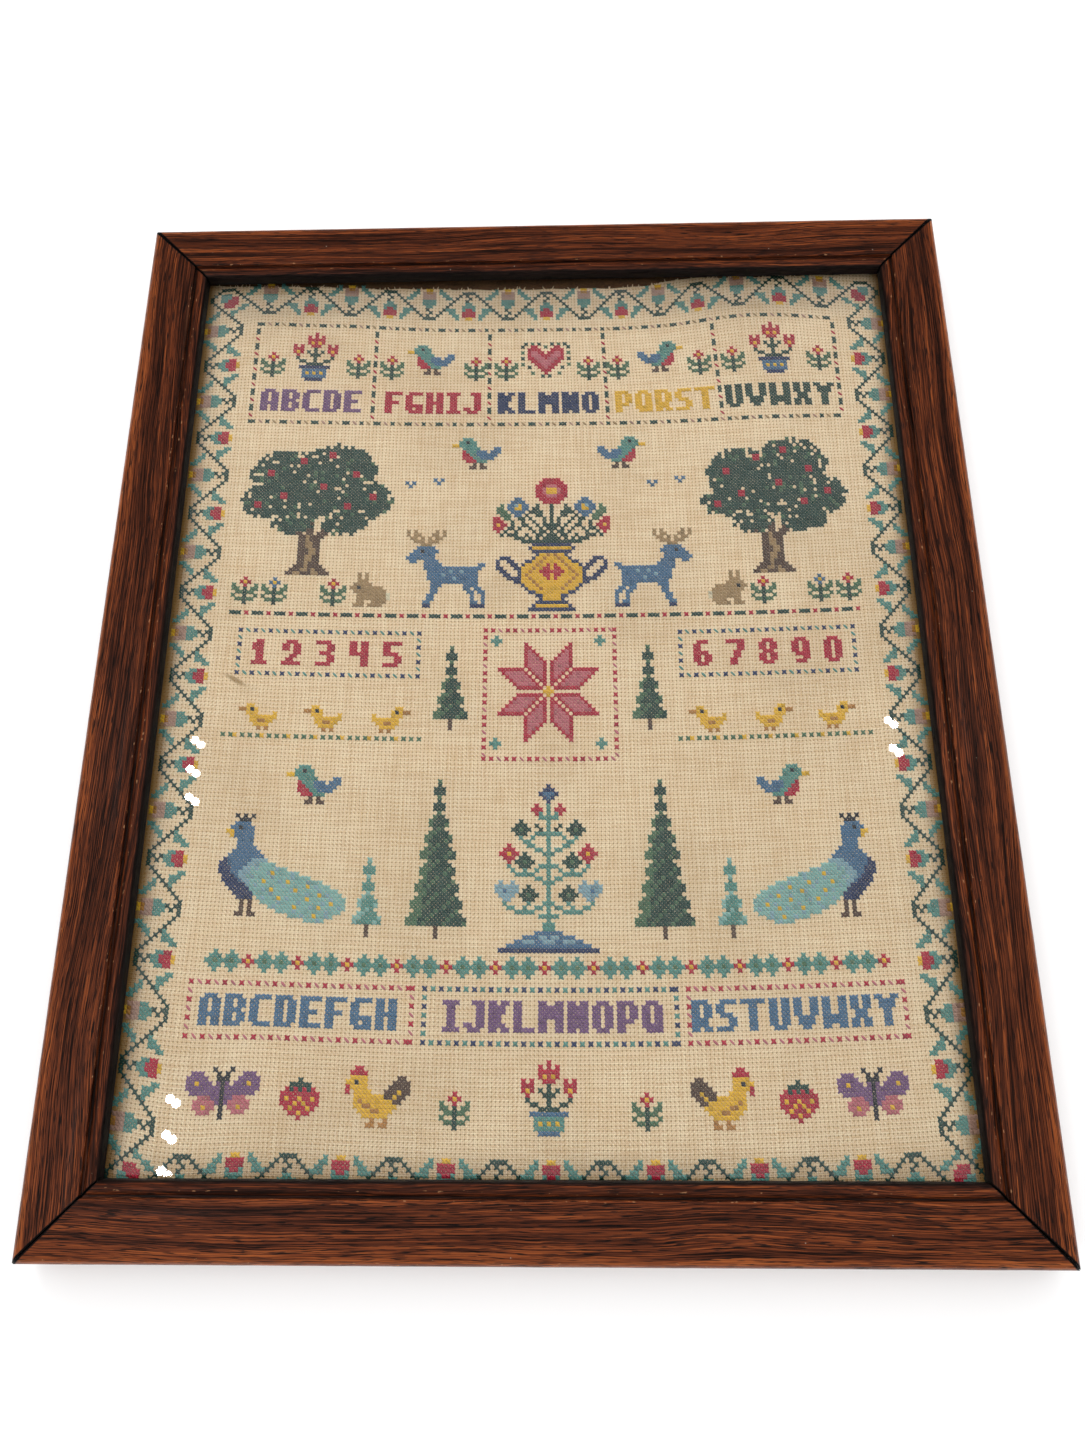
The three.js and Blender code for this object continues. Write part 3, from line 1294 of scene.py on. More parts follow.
@dataclass
class Linen:
    """The sheet of linen, with its frayed top edge."""

    lie: ClothLie
    finish: LinenFinish = field(default_factory=LinenFinish)
    thickness: float = 0.5
    steps_across: int = 114
    steps_up: int = 140
    flat_size: tuple = (0.378, 0.465)
    smooth_angle: float = 40.0

    def build(self) -> bpy.types.Object:
        sheet = self.lay_sheet()
        self.write_count(sheet)
        Bench.finish_with(sheet, "SOLIDIFY", thickness=self.thickness * MM, offset=-1.0)
        Bench.smooth(sheet, self.smooth_angle)
        wear_finish(sheet, self.finish.material(self.lie))
        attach(sheet, BODY)
        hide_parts("linen_cloth")
        return sheet

    def lay_sheet(self) -> bpy.types.Object:
        """Lay a fine grid out to the cloth's outline and over its ridges."""
        Bench.clear()
        bpy.ops.mesh.primitive_grid_add(
            x_subdivisions=self.steps_across, y_subdivisions=self.steps_up, size=1.0
        )
        sheet = bpy.context.active_object
        sheet.name = "worked_linen"
        sheet.data.name = "worked_linen"
        mesh = sheet.data
        points = Bench.corners(mesh)
        x = points[:, 0] * 2 * self.lie.half_width
        up = points[:, 1] + 0.5
        y = self.lie.foot + (self.lie.top_at(x) - self.lie.foot) * up
        laid = np.column_stack((x, y, self.lie.height(x, y))) * MM
        mesh.vertices.foreach_set("co", laid.ravel())
        mesh.update()
        return sheet

    def write_count(self, sheet: bpy.types.Object) -> None:
        """Write the count of crosses into the cloth's UV map."""
        mesh = sheet.data
        while mesh.uv_layers:
            mesh.uv_layers.remove(mesh.uv_layers[0])
        layer = mesh.uv_layers.new(name="count")
        points = Bench.corners(mesh) / MM
        corners = np.empty(len(mesh.loops), dtype=np.int32)
        mesh.loops.foreach_get("vertex_index", corners)
        pairs = CountMap.uv(*self.lie.count(points[:, 0], points[:, 1]))
        layer.data.foreach_set("uv", pairs[corners].ravel())


@dataclass
class Strand:
    """One leg of a cross, modelled once: flattened, humped in the middle and thin at its ends."""

    crown: float = 0.5
    end_width: float = 0.62
    end_thickness: float = 0.55
    rings: tuple = (0.3, 0.7)
    corners: np.ndarray = field(init=False)
    quads: np.ndarray = field(init=False)

    def __post_init__(self) -> None:
        """Shape the leg and keep its corners and its faces."""
        leg = Bench.block("leg", (0.0, -0.5, 0.0), (1.0, 0.5, 1.0))
        with Bench.editing(leg):
            for ring in self.rings:
                Bench.saw((ring, 0.0, 0.0), (1.0, 0.0, 0.0))
            Bench.pick(leg, Part.VERTS, lambda v: v.z > 0.9)
            self.shrink((1.0, self.crown, 1.0), MM)
            Bench.pick(leg, Part.VERTS, lambda v: v.x < 0.01 or v.x > 0.99)
            self.shrink((1.0, self.end_width, self.end_thickness), 0.0)
        self.corners = Bench.corners(leg.data) / MM
        self.quads = np.array([list(face.vertices) for face in leg.data.polygons])
        Bench.discard(leg)

    def shrink(self, shares: tuple, level: float) -> None:
        """Draw what is selected in to the leg's middle line at some level."""
        bpy.ops.transform.resize(value=shares, center_override=(0.5 * MM, 0.0, level))


@dataclass
class Legs:
    """Many legs laid on the cloth, gathered into one mesh."""

    strand: Strand
    lie: ClothLie

    def lay(
        self,
        name: str,
        start: np.ndarray,
        end: np.ndarray,
        width: np.ndarray,
        thick: np.ndarray,
        lift: np.ndarray,
        sink: float,
        shade: np.ndarray,
    ) -> bpy.types.Object:
        """Lay legs from point to point.

        Args:
            name: The piece's name.
            start: Where each leg comes up, X and Y in millimetres.
            end: Where it goes down.
            width: Each leg's width in its middle.
            thick: Each leg's thickness in its middle.
            lift: How far its middle stands off the cloth.
            sink: How far its ends lie in the cloth.
            shade: A number from 0 to 1 for each leg, its own shade of the colour, lowered on under legs
                for painted shade.

        Returns:
            The piece.
        """
        pattern = self.strand.corners
        run = end - start
        length = np.linalg.norm(run, axis=1, keepdims=True)
        aside = np.column_stack((-run[:, 1], run[:, 0])) / length
        t = pattern[None, :, 0]
        across = pattern[None, :, 1] * width[:, None]
        x = start[:, None, 0] + t * run[:, None, 0] + across * aside[:, None, 0]
        y = start[:, None, 1] + t * run[:, None, 1] + across * aside[:, None, 1]
        hump = 4 * t * (1 - t)
        z = self.lie.height(x, y) - sink + lift[:, None] * hump + pattern[None, :, 2] * thick[:, None]
        points = np.stack((x, y, z), axis=-1).reshape(-1, 3) * MM
        count, corners = len(start), len(pattern)
        offsets = np.arange(count)[:, None, None] * corners
        quads = (self.strand.quads[None] + offsets).reshape(-1, 4)
        mesh = bpy.data.meshes.new(name)
        mesh.vertices.add(len(points))
        mesh.vertices.foreach_set("co", points.ravel())
        mesh.loops.add(quads.size)
        mesh.loops.foreach_set("vertex_index", quads.ravel().astype(np.int32))
        mesh.polygons.add(len(quads))
        mesh.polygons.foreach_set("loop_start", np.arange(len(quads), dtype=np.int32) * 4)
        mesh.polygons.foreach_set("use_smooth", np.ones(len(quads), dtype=bool))
        mesh.update(calc_edges=True)
        leg_uv = np.tile(np.column_stack((pattern[:, 0], pattern[:, 1] + 0.5)), (count, 1))
        layer = mesh.uv_layers.new(name="leg")
        layer.data.foreach_set("uv", leg_uv[quads.ravel()].ravel())
        tone = mesh.attributes.new("shade", "FLOAT", "POINT")
        tone.data.foreach_set("value", np.repeat(shade, corners).astype(np.float32))
        mesh.validate()
        return Bench.bring_in(name, mesh)


@dataclass(frozen=True)
class Chart:
    """A block of crosses: one letter for each cross, and a dot for bare linen."""

    rows: tuple

    @staticmethod
    def drawn(text: str) -> "Chart":
        """Read a chart from rows that are separated by spaces or new lines."""
        return Chart(tuple(text.split()))

    @property
    def width(self) -> int:
        """Columns across."""
        return max(len(row) for row in self.rows)

    @property
    def height(self) -> int:
        """Rows down."""
        return len(self.rows)

    def opened(self) -> "Chart":
        """Add the mirror image on the right, round the last column."""
        return Chart(tuple(row + row[-2::-1] for row in self.rows))

    def bolder(self) -> "Chart":
        """Give a letter with its second row worked twice and its strokes a cross wider."""
        wide = []
        for row in self.rows[:2] + self.rows[1:]:
            pairs = zip(row + ".", "." + row)
            wide.append("".join("#" if "#" in pair else "." for pair in pairs))
        return Chart(tuple(wide))

    def turned(self) -> "Chart":
        """Give the mirror image."""
        return Chart(tuple(row.ljust(self.width, ".")[::-1] for row in self.rows))

    def recoloured(self, **letters: str) -> "Chart":
        """Give the chart with some letters changed for others."""
        table = str.maketrans(letters)
        return Chart(tuple(row.translate(table) for row in self.rows))


GLYPHS = """
A .##. #..# #..# #### #..# #..#
B ###. #..# ###. #..# #..# ###.
C .### #... #... #... #... .###
D ###. #..# #..# #..# #..# ###.
E #### #... ###. #... #... ####
F #### #... ###. #... #... #...
G .### #... #... #.## #..# .###
H #..# #..# #### #..# #..# #..#
I ### .#. .#. .#. .#. ###
J ..## ...# ...# ...# #..# .##.
K #..# #.#. ##.. ##.. #.#. #..#
L #... #... #... #... #... ####
M #...# ##.## #.#.# #...# #...# #...#
N #..# ##.# ##.# #.## #.## #..#
O .##. #..# #..# #..# #..# .##.
P ###. #..# #..# ###. #... #...
Q .##. #..# #..# #..# #.## .###
R ###. #..# #..# ###. #.#. #..#
S .### #... .##. ...# ...# ###.
T ##### ..#.. ..#.. ..#.. ..#.. ..#..
U #..# #..# #..# #..# #..# .##.
V #...# #...# #...# .#.#. .#.#. ..#..
W #...# #...# #...# #.#.# ##.## #...#
X #..# #..# .##. .##. #..# #..#
Y #...# .#.#. ..#.. ..#.. ..#.. ..#..
Z #### ...# ..#. .#.. #... ####
1 .#. ##. .#. .#. .#. ###
2 .##. #..# ...# ..#. .#.. ####
3 ###. ...# .##. ...# ...# ###.
4 #..# #..# #### ...# ...# ...#
5 #### #... ###. ...# ...# ###.
6 .##. #... ###. #..# #..# .##.
7 #### ...# ..#. ..#. .#.. .#..
8 .##. #..# .##. #..# #..# .##.
9 .##. #..# #..# .### ...# .##.
0 .##. #..# #..# #..# #..# .##.
"""

ALPHABET = {line[0]: Chart.drawn(line[2:]) for line in GLYPHS.split("\n") if line}


class Work:
    """The crosses worked so far: a thread for each place of the count, whole or half."""

    def __init__(self) -> None:
        """Start with bare linen."""
        self.crosses: dict[tuple[int, int], tuple[Floss, bool]] = {}

    def cross(self, column: int, row: int, floss: Floss, half: bool = False) -> None:
        """Work one cross, or only one leg of it."""
        self.crosses[(column, row)] = (floss, half)

    def chart(self, chart: Chart, left: int, top: int, mark: Floss | None = None) -> None:
        """Work a chart.

        Args:
            chart: The chart.
            left: The column of its first letter.
            top: The row of its first row.
            mark: The thread for a chart that is drawn with hash signs.
        """
        for down, row in enumerate(chart.rows):
            for along, letter in enumerate(row):
                if letter != ".":
                    floss = mark if letter == "#" else FLOSS_BY_LETTER[letter]
                    self.cross(left + along, top + down, floss)

    def centred(self, text: str, middle: float, top: int, floss: Floss, gap: int = 1) -> None:
        """Work a run of letters or numerals about a middle column.

        Args:
            text: The run.
            middle: The column of its middle.
            top: The row of its top.
            floss: Its thread.
            gap: Columns left bare between two letters.
        """
        glyphs = [ALPHABET[letter].bolder() for letter in text]
        width = sum(glyph.width + gap for glyph in glyphs) - gap
        left = round(middle - width / 2)
        for glyph in glyphs:
            self.chart(glyph, left, top, floss)
            left += glyph.width + gap

    def dotted(self, start: tuple[int, int], end: tuple[int, int], pattern: str) -> None:
        """Work a straight line of crosses with spaces between them.

        Args:
            start: The column and row of the first.
            end: The column and row of the last.
            pattern: A chart row that repeats, with a small letter for a half cross.
        """
        run = max(abs(end[0] - start[0]), abs(end[1] - start[1]))
        for step in range(run + 1):
            letter = pattern[step % len(pattern)]
            if letter != ".":
                column = round(start[0] + (end[0] - start[0]) * step / run)
                row = round(start[1] + (end[1] - start[1]) * step / run)
                self.cross(column, row, FLOSS_BY_LETTER[letter.upper()], letter.islower())

    def box(self, left: int, top: int, right: int, bottom: int, pattern: str) -> None:
        """Work a dotted box.

        Args:
            left: Its first column.
            top: Its first row.
            right: Its last column.
            bottom: Its last row.
            pattern: The row that its sides repeat.
        """
        for row in (top, bottom):
            self.dotted((left, row), (right, row), pattern)
        for column in (left, right):
            self.dotted((column, top), (column, bottom), pattern)


HALF_VINE = Chart.drawn("""
........T..Y
DD.....TT.PO
Z.D...TT..PP
Z..D.TT...PP
Z...D.....TT
T....D....TT
TT....D....T
RT..TTTD...Z
RR..TT..D..Z
RR.TT....D.Z
Y..T......DD
""")

VINE_CORNER = Chart.drawn("""
.
....DDDD.....T
...D....D...TT
..D.TTT..D.TT
.D..TTTRR.D
.D..TTRRR..D
..D..RRRR...D
...D.RRR..TT.D
....D....TT
...T.D.TT
..TT..DT
.TT....D
TT......D
.........D
""")


@dataclass
class Border:
    """The zigzag vine with its tulips, which runs round all four sides."""

    lie: ClothLie
    period: int = 24
    first_column: int = 6
    first_row: int = 4
    corner_reach: int = 14

    def work(self, work: Work) -> None:
        """Work the four sides and the four corners."""
        self.run(work, self.lie.columns, self.lie.rows, self.first_column, upright=False)
        self.run(work, self.lie.rows, self.lie.columns, self.first_row, upright=True)
        for down in (False, True):
            for right in (False, True):
                self.corner(work, right, down)

    def run(self, work: Work, length: int, across: int, first: int, upright: bool) -> None:
        """Work two opposite sides.

        Args:
            work: The work.
            length: The length of the sides, in crosses.
            across: The distance from one side's outer row to the other's, in crosses.
            first: Where the first tulip's middle lies.
            upright: Whether the sides run up the picture.
        """
        half = self.period // 2
        for along in range(self.corner_reach, length - self.corner_reach):
            step = (along - first) % self.period
            beyond = step >= half
            step = self.period - 1 - step if beyond else step
            for depth, row in enumerate(HALF_VINE.rows):
                letter = row[step]
                if letter == "Z":
                    letter = "D" if beyond == (depth % 2 == 0) else "."
                if letter == ".":
                    continue
                for outer in (depth, across - 1 - depth):
                    column, line = (outer, along) if upright else (along, outer)
                    work.cross(column, line, FLOSS_BY_LETTER[letter])

    def corner(self, work: Work, right: bool, down: bool) -> None:
        """Work one corner.

        Args:
            work: The work.
            right: Whether it is a right hand corner.
            down: Whether it is a bottom corner.
        """
        for row, letters in enumerate(VINE_CORNER.rows):
            for column, letter in enumerate(letters):
                if letter != ".":
                    at = self.lie.columns - 1 - column if right else column
                    line = self.lie.rows - 1 - row if down else row
                    work.cross(at, line, FLOSS_BY_LETTER[letter])


TRUNK = Chart.drawn("""
W......W.....W
.W.....W....W
.WW...WW..WWW
..WWW.WW.WWW
....WWFWWWW
....WWFWWW
....WWFFWW
....WWFFWW
....WWWFFW
....WWWFFW
....WWFFWW
....WWFFWW
....WWFWWW
...WWWFWWWW
..WWWFFWFWWW
.WWFFWWWFFWWW
""")


@dataclass
class LeafyTree:
    """A broad tree with a brown trunk, worked in loose clumps of leaves."""

    left: int
    top: int
    seed: int
    clumps: tuple = (
        (12.0, 10.8, 10.2, 7.4),
        (26.4, 9.0, 10.8, 8.2),
        (6.6, 19.2, 6.7, 5.5),
        (19.2, 18.0, 11.4, 6.5),
        (34.2, 18.6, 7.9, 6.2),
        (14.4, 25.8, 6.0, 3.6),
        (28.8, 25.8, 6.7, 3.8),
    )
    fruit: tuple = ((7, 10), (16, 6), (24, 4), (31, 10), (11, 17), (22, 14), (36, 17), (29, 20), (4, 20))
    crown: tuple = (44, 33)
    trunk_at: tuple = (13, 26)
    bare_edge: float = 0.42
    edge_reach: float = 0.16
    bare_share: float = 0.04
    light_from: float = 0.93

    def work(self, work: Work) -> None:
        """Work the trunk, the leaves over it and the fruit over them."""
        work.chart(TRUNK, self.left + self.trunk_at[0], self.top + self.trunk_at[1])
        chance = np.random.default_rng(self.seed)
        for row in range(self.crown[1]):
            for column in range(self.crown[0]):
                depth = max(
                    1 - math.hypot((column - x) / wide, (row - y) / high)
                    for x, y, wide, high in self.clumps
                )
                draw = chance.random()
                bare = self.bare_edge * math.exp(-depth / self.edge_reach) + self.bare_share
                if depth > 0 and draw > bare:
                    shade = Floss.LEAF_GREEN if draw > self.light_from else Floss.DARK_GREEN
                    work.cross(self.left + column, self.top + row, shade)
        for column, row in self.fruit:
            work.chart(Chart(("RR", "RR")), self.left + column, self.top + row)


@dataclass
class TieredTree:
    """A tall narrow tree in tiers, lighter down its left side."""

    middle: int
    top: int
    tiers: int
    dark: Floss = Floss.DARK_GREEN
    light: Floss = Floss.LEAF_GREEN
    tier_rows: int = 4
    stem_rows: int = 3

    def work(self, work: Work) -> None:
        """Work the tiers and the stem."""
        row = self.top
        for tier in range(self.tiers):
            reach = 1 + tier * 3 // 4
            for step in range(self.tier_rows):
                half = min(reach, max(0, reach - 2 + step))
                for column in range(-half, half + 1):
                    shade = self.light if column < -half // 2 or (column + step) % 5 == 0 else self.dark
                    work.cross(self.middle + column, row, shade)
                row += 1
        for step in range(self.stem_rows):
            work.cross(self.middle, row + step, Floss.BROWN)


POT_OF_TULIPS = Chart.drawn("""
......R
....R.R
....RRR
....RYR
R.R..RR
RRR...D
RYR.D.D
.R...DD
.D....D
..DD..D
....DDD
..NNNNN
...BBBB
...BYBY
...BBBB
....NNN
""").opened()

SMALL_BIRD = Chart.drawn("""
...TTT
..TTXTT
YYTTTTT
...TTTTT....BB
...RTTTBBB.BBB
...RRTTBBBBBB
...RRRTTBBBB
....RRRTTT
......W.W
.....WW.WW
""")

HEART = Chart.drawn("""
.D.E.D..
D..RR..E
..RRRR..
E.RKKRR.
..RKKKRR
D.RRKKKR
...RRKKK
E...RRKK
..D..RRK
......RR
...E...R
......D.
""").opened()

URN_OF_FLOWERS = Chart.drawn("""
..............RRR
.............RRRR
............RRRKK
............RRKYY
............RRKYY
............RRRKK
......BB.....RRRR
.....BBBB.....RRR
..E.BBSYBB..D...D
.EE.BBYYBB.DD...D
.EEE.BBBB.DDDD..D
..EEE.BB.D..DD..D
RR.EE..DD.D...D.D
RRR..D..D..D..D.D
RYRR.D..DD..D.DDD
RRR.DD.D..D..D.DD
.R.D..D....D.DD.D
..D.DDD..D..DD.DD
......DDD.D.D.DDD
........DDDDDDDDD
...........NNNNNN
..........NYYYYYY
...........NNNNNN
............NYYOY
..NNN......NYYOYY
.N..NN...NNYYOYYY
.N...NN.NYYYOYYRY
.NN...NNYYYOYYRRY
..NN...NYYOYYRRRR
...NN..NYOYYYYRRY
....NNNNYYOYYYYRY
......NNYYYOYYYYY
........NYYYOYYYY
.........NYYYOYYY
..........NNYYYYY
............NNYYY
.............NYYY
............NNNNN
...........NYYYYY
..........NNNNNNN
""").opened()

STAG = Chart.drawn("""
F.F.....F.F
F.FF...FF.F
.FF.F.F.FF
..FFF.FFF
....FFF
...BBBBB
..BBXBBBB
.BBBBBBB
BBBBBBBB
.BB..BBBB
.....BBBBB..........BB
.....BBBBBBBBBBBBBBBB
......BBBBBBSBBSBBBB
......BBBBSBBBBBBBBB
......BBBBBBBSBBBBBB
.......BBBBBBBBBBBBB
.......BBB......BBBB
.......BB.......BB.BB
.......BB........BB.BB
......BB..........B..B
......BB..........B..B
.....BB...........BB.B
.....NN...........NNNN
""")

RABBIT = Chart.drawn("""
..F.F
..F.F
..FFF
.FFFFF
FFXFFFFFF
.FFFFFFFFF
..FFFFFFFFC
..FFFFFFFFC
..FF..FFFF
.FFF.FFFF
""")

SPRIG = Chart.drawn("""
...R
..RY
E..R
EE.D
.EED
E..D
.EED
...D
""").opened()

PEACOCK = Chart.drawn("""
.....X.X.X
......XXX
.....BBBB
....BBXBBB
...YYBBBBB
....YBBBBB
......BBBB
......BBBB
......BBBBB
.....BBBBBBB
....BBBBBBBBB
...NBBBBBBSSSS
..NNBBBBBSSSAAAA
..NNNBBBSSASAAAASAA
..NNNBBSSSAAAASYAAAASA
...NNNBSSASAAAASAAAASAAAA
...NNNNBSSAAAYAAASAYAAAASAAA
....NNNNNSASAAAAAASAAAAAYASAAA
.....NNNNNAAASAYAAAASYAAAAASAAAA
......NNNNNAAAASAAAAAAAASAAYASAAA
.......NNNN.ASAAAYASAAAAYAAAAASAAA
........W.W..AAAASAAAASAAAAASAYAAA
........W.W....ASAAAAYAAASAYAAAASA
........W.W......AAAASAAAAAAASAAA
.......WW.WW........AAASAAYAASA
........................AAASA
""")

TREE_OF_LIFE = Chart.drawn("""
.............N
............NN
...........NBB
............NB
.............N
..........R..T
.........RRR.T
..........RT.T
...........TTT
......D......T
.....DDD..D..T
....DDEDD..D.T
.....DDD..TTTT
......T..T...T
.......TT....T
...R....TT...T
..RRR.....TT.T
.RRYRR.D....TT
..RRR.DDD....T
...R.DDEDD...T
...T..DDD..TTT
....T..T..T..T
.....TTTTT...T
..........TT.T
.S..S.......TT
SSSSSS..D....T
SSBSSS.DDD...T
.SSSS.DDEDD..T
..SS...DDD...T
..T.....T...TT
...TT..T..TT.T
.....TTTTT...T
...........TTT
.............T
............TT
............TT
..........BBBB
.......BBBBSSB
.....BBSSSBBSS
...BBBBBBBBBBB
.NNNNNNNNNNNNN
""").opened()

BUTTERFLY = Chart.drawn("""
......X..
.VVV...X.
VVVVV..XX
VVYVVV.VX
VVVVVVVVX
.VVVVVVVX
...KKKVVX
..KKKKKVX
..KKYKK.X
...KKK..X
........X
""").opened()

HEN = Chart.drawn("""
..RR
.RRRR
.YYYY.......WW
YYXYY......WWWW
RYYYY.....WWWWW
R.YYYY...WWWYWW
..YYYYYYYWWYWW
..YOYYYYYYYWW
..YYOOYYYYYY
...YYYOOYYY
....YYYYYY
......O..O
.....OO.OO
""")

DUCK = Chart.drawn("""
..YY
OOYXY
..YYY....Y
...YYYYYYY
...YYOOYY
....YYYY
.....O.O
""")

STRAWBERRY = Chart.drawn("""
....D
..DDD
.RDRD
RRRRR
RYRRY
RRRYR
.RYRR
..RRY
....R
""").opened()

STAR_MIDDLE = Chart.drawn(".Y. YYY .Y.")

STAR_DOT = Chart.drawn(".T. TTT .T.")

BLUE_CHECK = Chart.drawn("B.B .B.")

DIAMONDS = Chart.drawn("""
..T...T
.TTT.TTT..R
TTETTTETTRYR
.TTT.TTT..R
..T...T
""")


@dataclass
class Picture:
    """The plain sampler picture inside the border: letters, numerals, plants, birds and beasts."""

    columns: int = 204

    def work(self, work: Work) -> None:
        """Work the picture band by band, from the top."""
        self.top_cells(work)
        self.garden(work)
        self.numerals(work)
        self.birds(work)
        self.letter_boxes(work)
        self.foot(work)

    def pair(self, work: Work, chart: Chart, left: int, top: int) -> None:
        """Work a chart on the left and its mirror image in the same place on the right."""
        work.chart(chart, left, top)
        work.chart(chart.turned(), self.columns - left - chart.width, top)

    def top_cells(self, work: Work) -> None:
        """Work the row of five dotted cells, each with a motif and a run of the alphabet."""
        lines = [15, 50, 84, 119, 153, 188]
        for row in (14, 46):
            work.dotted((lines[0], row), (lines[-1], row), "DD.p.D.f.")
        for line in lines:
            work.dotted((line, 16), (line, 44), "DD.r.")
        runs = (
            ("ABCDE", Floss.PURPLE),
            ("FGHIJ", Floss.CRIMSON),
            ("KLMNO", Floss.NAVY),
            ("PQRST", Floss.YELLOW),
            ("UVWXY", Floss.DARK_GREEN),
        )
        motifs = (POT_OF_TULIPS, SMALL_BIRD, HEART, SMALL_BIRD.turned(), POT_OF_TULIPS)
        for cell, ((text, floss), motif) in enumerate(zip(runs, motifs)):
            middle = (lines[cell] + lines[cell + 1] + 1) / 2
            work.centred(text, middle, 36, floss)
            work.chart(motif, round(middle - motif.width / 2), 25 - motif.height // 2)
            work.chart(SPRIG, round(middle) - 16, 24)
            work.chart(SPRIG, round(middle) + 9, 24)

    def garden(self, work: Work) -> None:
        """Work the two fruit trees, the urn, the stags and what grows and runs under them."""
        LeafyTree(15, 52, 11).work(work)
        LeafyTree(145, 52, 23).work(work)
        work.chart(URN_OF_FLOWERS, 86, 64)
        self.pair(work, STAG, 62, 80)
        self.pair(work, SMALL_BIRD, 74, 51)
        self.pair(work, RABBIT, 47, 93)
        for column in (61, 69, 130, 138):
            work.chart(BLUE_CHECK, column, 64 + column % 3)
        blue = SPRIG.recoloured(R="B")
        for column, sprig in ((15, SPRIG), (23, blue), (39, SPRIG)):
            self.pair(work, sprig, column, 95)
        work.dotted((15, 105), (188, 105), "DDD.R.")

    def numerals(self, work: Work) -> None:
        """Work the numerals in their boxes and the star between them."""
        work.box(84, 109, 119, 144, "R.R.k.")
        self.star(work, 101, 126)
        work.box(18, 110, 66, 122, "N.t.")
        work.centred("12345", 42.5, 113, Floss.CRIMSON, 4)
        work.box(137, 110, 185, 122, "N.t.")
        work.centred("67890", 161.5, 113, Floss.CRIMSON, 4)
        for middle in (75, 128):
            TieredTree(middle, 114, 5).work(work)
        for column in (20, 37):
            self.pair(work, DUCK, column, 131)
        self.pair(work, DUCK.turned(), 55, 131)
        for start in (16, 136):
            work.dotted((start, 139), (start + 51, 139), "E.EY.E.")

    def star(self, work: Work, middle: int, row: int) -> None:
        """Work the eight pointed star.

        Args:
            work: The work.
            middle: The column of its middle.
            row: The row of its middle.
        """
        for step in range(6):
            for reach in range(7):
                inner = 1 <= step <= 4 and 1 <= reach <= 5
                floss = Floss.ROSE if inner else Floss.CRIMSON
                near, far = 6 - step, 13 - step - reach
                for a, b in ((near, far), (far, near)):
                    for turn_a in (-1, 1):
                        for turn_b in (-1, 1):
                            work.cross(middle + a * turn_a, row + b * turn_b, floss)
        work.chart(STAR_MIDDLE, middle - 1, row - 1)
        for across in (-15, 13):
            for down in (-15, 13):
                work.chart(STAR_DOT, middle + across, row + down)

    def birds(self, work: Work) -> None:
        """Work the two peacocks, the tree of life and the tall trees beside it."""
        self.pair(work, PEACOCK, 17, 160)
        work.chart(TREE_OF_LIFE, 88, 151)
        for middle in (73, 130):
            TieredTree(middle, 150, 9).work(work)
        for middle in (56, 147):
            TieredTree(middle, 170, 4, Floss.TEAL, Floss.AQUA).work(work)
        self.pair(work, SMALL_BIRD, 34, 147)
        for left in range(18, 180, 12):
            work.chart(DIAMONDS, left, 193)

    def letter_boxes(self, work: Work) -> None:
        """Work the second alphabet in three dotted boxes."""
        boxes = (
            (15, 68, "ABCDEFGH", Floss.BLUE, "R.k."),
            (71, 132, "IJKLMNOPQ", Floss.PURPLE, "N.T."),
            (135, 188, "RSTUVWXY", Floss.BLUE, "R.k."),
        )
        for left, right, text, floss, dots in boxes:
            work.box(left, 200, right, 212, dots)
            work.centred(text, (left + right + 1) / 2, 203, floss)

    def foot(self, work: Work) -> None:
        """Work the lowest band: butterflies, hens and strawberries."""
        self.pair(work, BUTTERFLY, 17, 219)
        self.pair(work, STRAWBERRY, 39, 221)
        self.pair(work, HEN, 54, 218)
        self.pair(work, SPRIG, 76, 223)
        work.chart(POT_OF_TULIPS.recoloured(B="T", N="B"), 95, 216)


